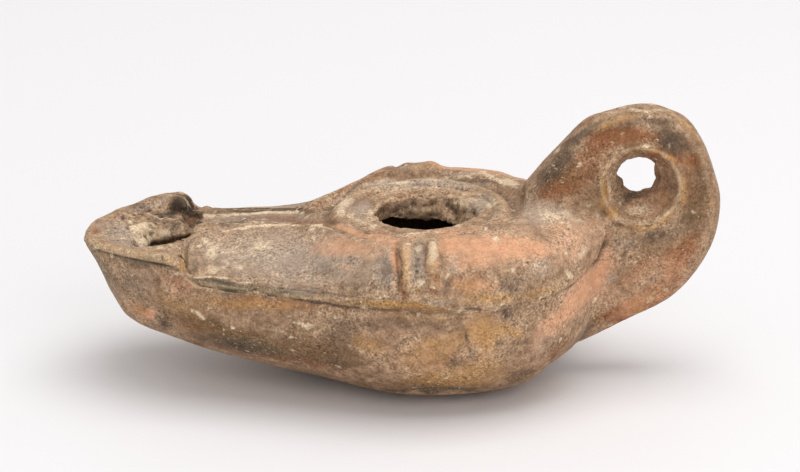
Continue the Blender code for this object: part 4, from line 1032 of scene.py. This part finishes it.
# Each layer is its colour, its strength and the soft passages that limit it.
layers = []
for kind, (code, strength) in STAIN_TONES.items():
    edge, torn = LIME_EDGE if kind == "lime" else STAIN_EDGE
    shifted = node(clay, "ShaderNodeVectorMath", {
        0: place, 1: STAIN_SHIFT * list(STAINS).index(kind)})
    ragged = node(clay, "ShaderNodeTexNoise", {
        "Vector": shifted, "Scale": 1.0 / (PATTERNS["mottle"][0] * MM), "Detail": STAIN_DETAIL,
        "Roughness": STAIN_ROUGHNESS})
    ragged = node(clay, "ShaderNodeMath", {0: ragged, 1: NOISE_MIDDLE}, operation="SUBTRACT")
    level = node(clay, "ShaderNodeMath", {0: ragged, 1: torn, 2: patterns[kind]},
                 operation="MULTIPLY_ADD")
    layers.append((code, strength, [(level, edge), (patterns[kind], STAIN_START)]))
# Painted shade in hollows, and paler worn edges, from how deep each point lies in a hollow.
sunk = node(clay, "ShaderNodeMath", {0: patterns["mottle"], 1: NOISE_MIDDLE},
            operation="SUBTRACT")
sunk = node(clay, "ShaderNodeMath", {0: sunk, 1: HOLLOW_CRUMB, 2: patterns["hollow"]},
            operation="MULTIPLY_ADD")
for passage, code, strength in SHADE_AND_WORN_EDGE_TONES:
    layers.append((code, strength, [(sunk, passage)]))
warp = node(clay, "ShaderNodeTexNoise", {
    "Vector": place, "Scale": 1.0 / (WARP_SIZE * MM), "Detail": WARP_DETAIL})
warp = node(clay, "ShaderNodeVectorMath", {
    0: warp.outputs["Color"], 1: [NOISE_MIDDLE] * 3}, operation="SUBTRACT")
warp = node(clay, "ShaderNodeVectorMath", {0: warp, "Scale": WARP * MM}, operation="SCALE")
warped = node(clay, "ShaderNodeVectorMath", {0: place, 1: warp})
flecked = node(clay, "ShaderNodeMath", {0: patterns["patchy"], 1: patterns["calm"]},
               operation="MULTIPLY")
for spacing, code, strength, rarity in FLECKS:
    cells = node(clay, "ShaderNodeTexVoronoi", {
        "Vector": warped, "Scale": 1.0 / (spacing * MM)}).outputs
    strength = node(clay, "ShaderNodeMath", {0: flecked, 1: strength}, operation="MULTIPLY")
    layers.append((code, strength, [
        (cells["Distance"], FLECK_EDGE), (cells["Color"], (rarity, rarity + FLECK_STEP))]))

tone = node(clay, "ShaderNodeMath", {0: patterns["cloud"], 1: CLOUD_SHARE}, operation="MULTIPLY")
tone = node(clay, "ShaderNodeMath", {0: patterns["mottle"], 1: MOTTLE_SHARE, 2: tone},
            operation="MULTIPLY_ADD")
colour = node(clay, "ShaderNodeValToRGB", {"Fac": tone})
# A new ramp has two stops, and this one has three.
colour.color_ramp.elements.new(NOISE_MIDDLE)
for stop, (position, code) in zip(colour.color_ramp.elements, CLAY_TONES.items()):
    stop.position = position
    stop.color = linear(code)
for code, share, passages in layers:
    for value, (start, end) in passages:
        passage = node(clay, "ShaderNodeMapRange", {
            "Value": value, "From Min": start, "From Max": end}, interpolation_type="SMOOTHSTEP")
        share = node(clay, "ShaderNodeMath", {0: share, 1: passage}, operation="MULTIPLY")
    colour = node(clay, "ShaderNodeMix", {0: share, UNDER: colour, OVER: linear(code)},
                  data_type="RGBA").outputs[MIXED]
speckle = node(clay, "ShaderNodeMath", {0: patterns["uneven"], 1: patterns["calm"]},
               operation="MULTIPLY")
speckle = node(clay, "ShaderNodeMath", {0: patterns["grainy"], 1: speckle, 2: patterns["mottled"]},
               operation="MULTIPLY_ADD")
colour = node(clay, "ShaderNodeVectorMath", {0: colour, "Scale": speckle}, operation="SCALE")
bump = node(clay, "ShaderNodeBump", {
    "Height": patterns["grain"], "Strength": GRAIN_BUMP, "Distance": GRAIN_DEPTH * MM})
clay.links.new(colour.outputs[0], shader.inputs["Base Color"])
clay.links.new(bump.outputs[0], shader.inputs["Normal"])

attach(clay_lamp, "root")
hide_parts("lamp")

low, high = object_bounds()
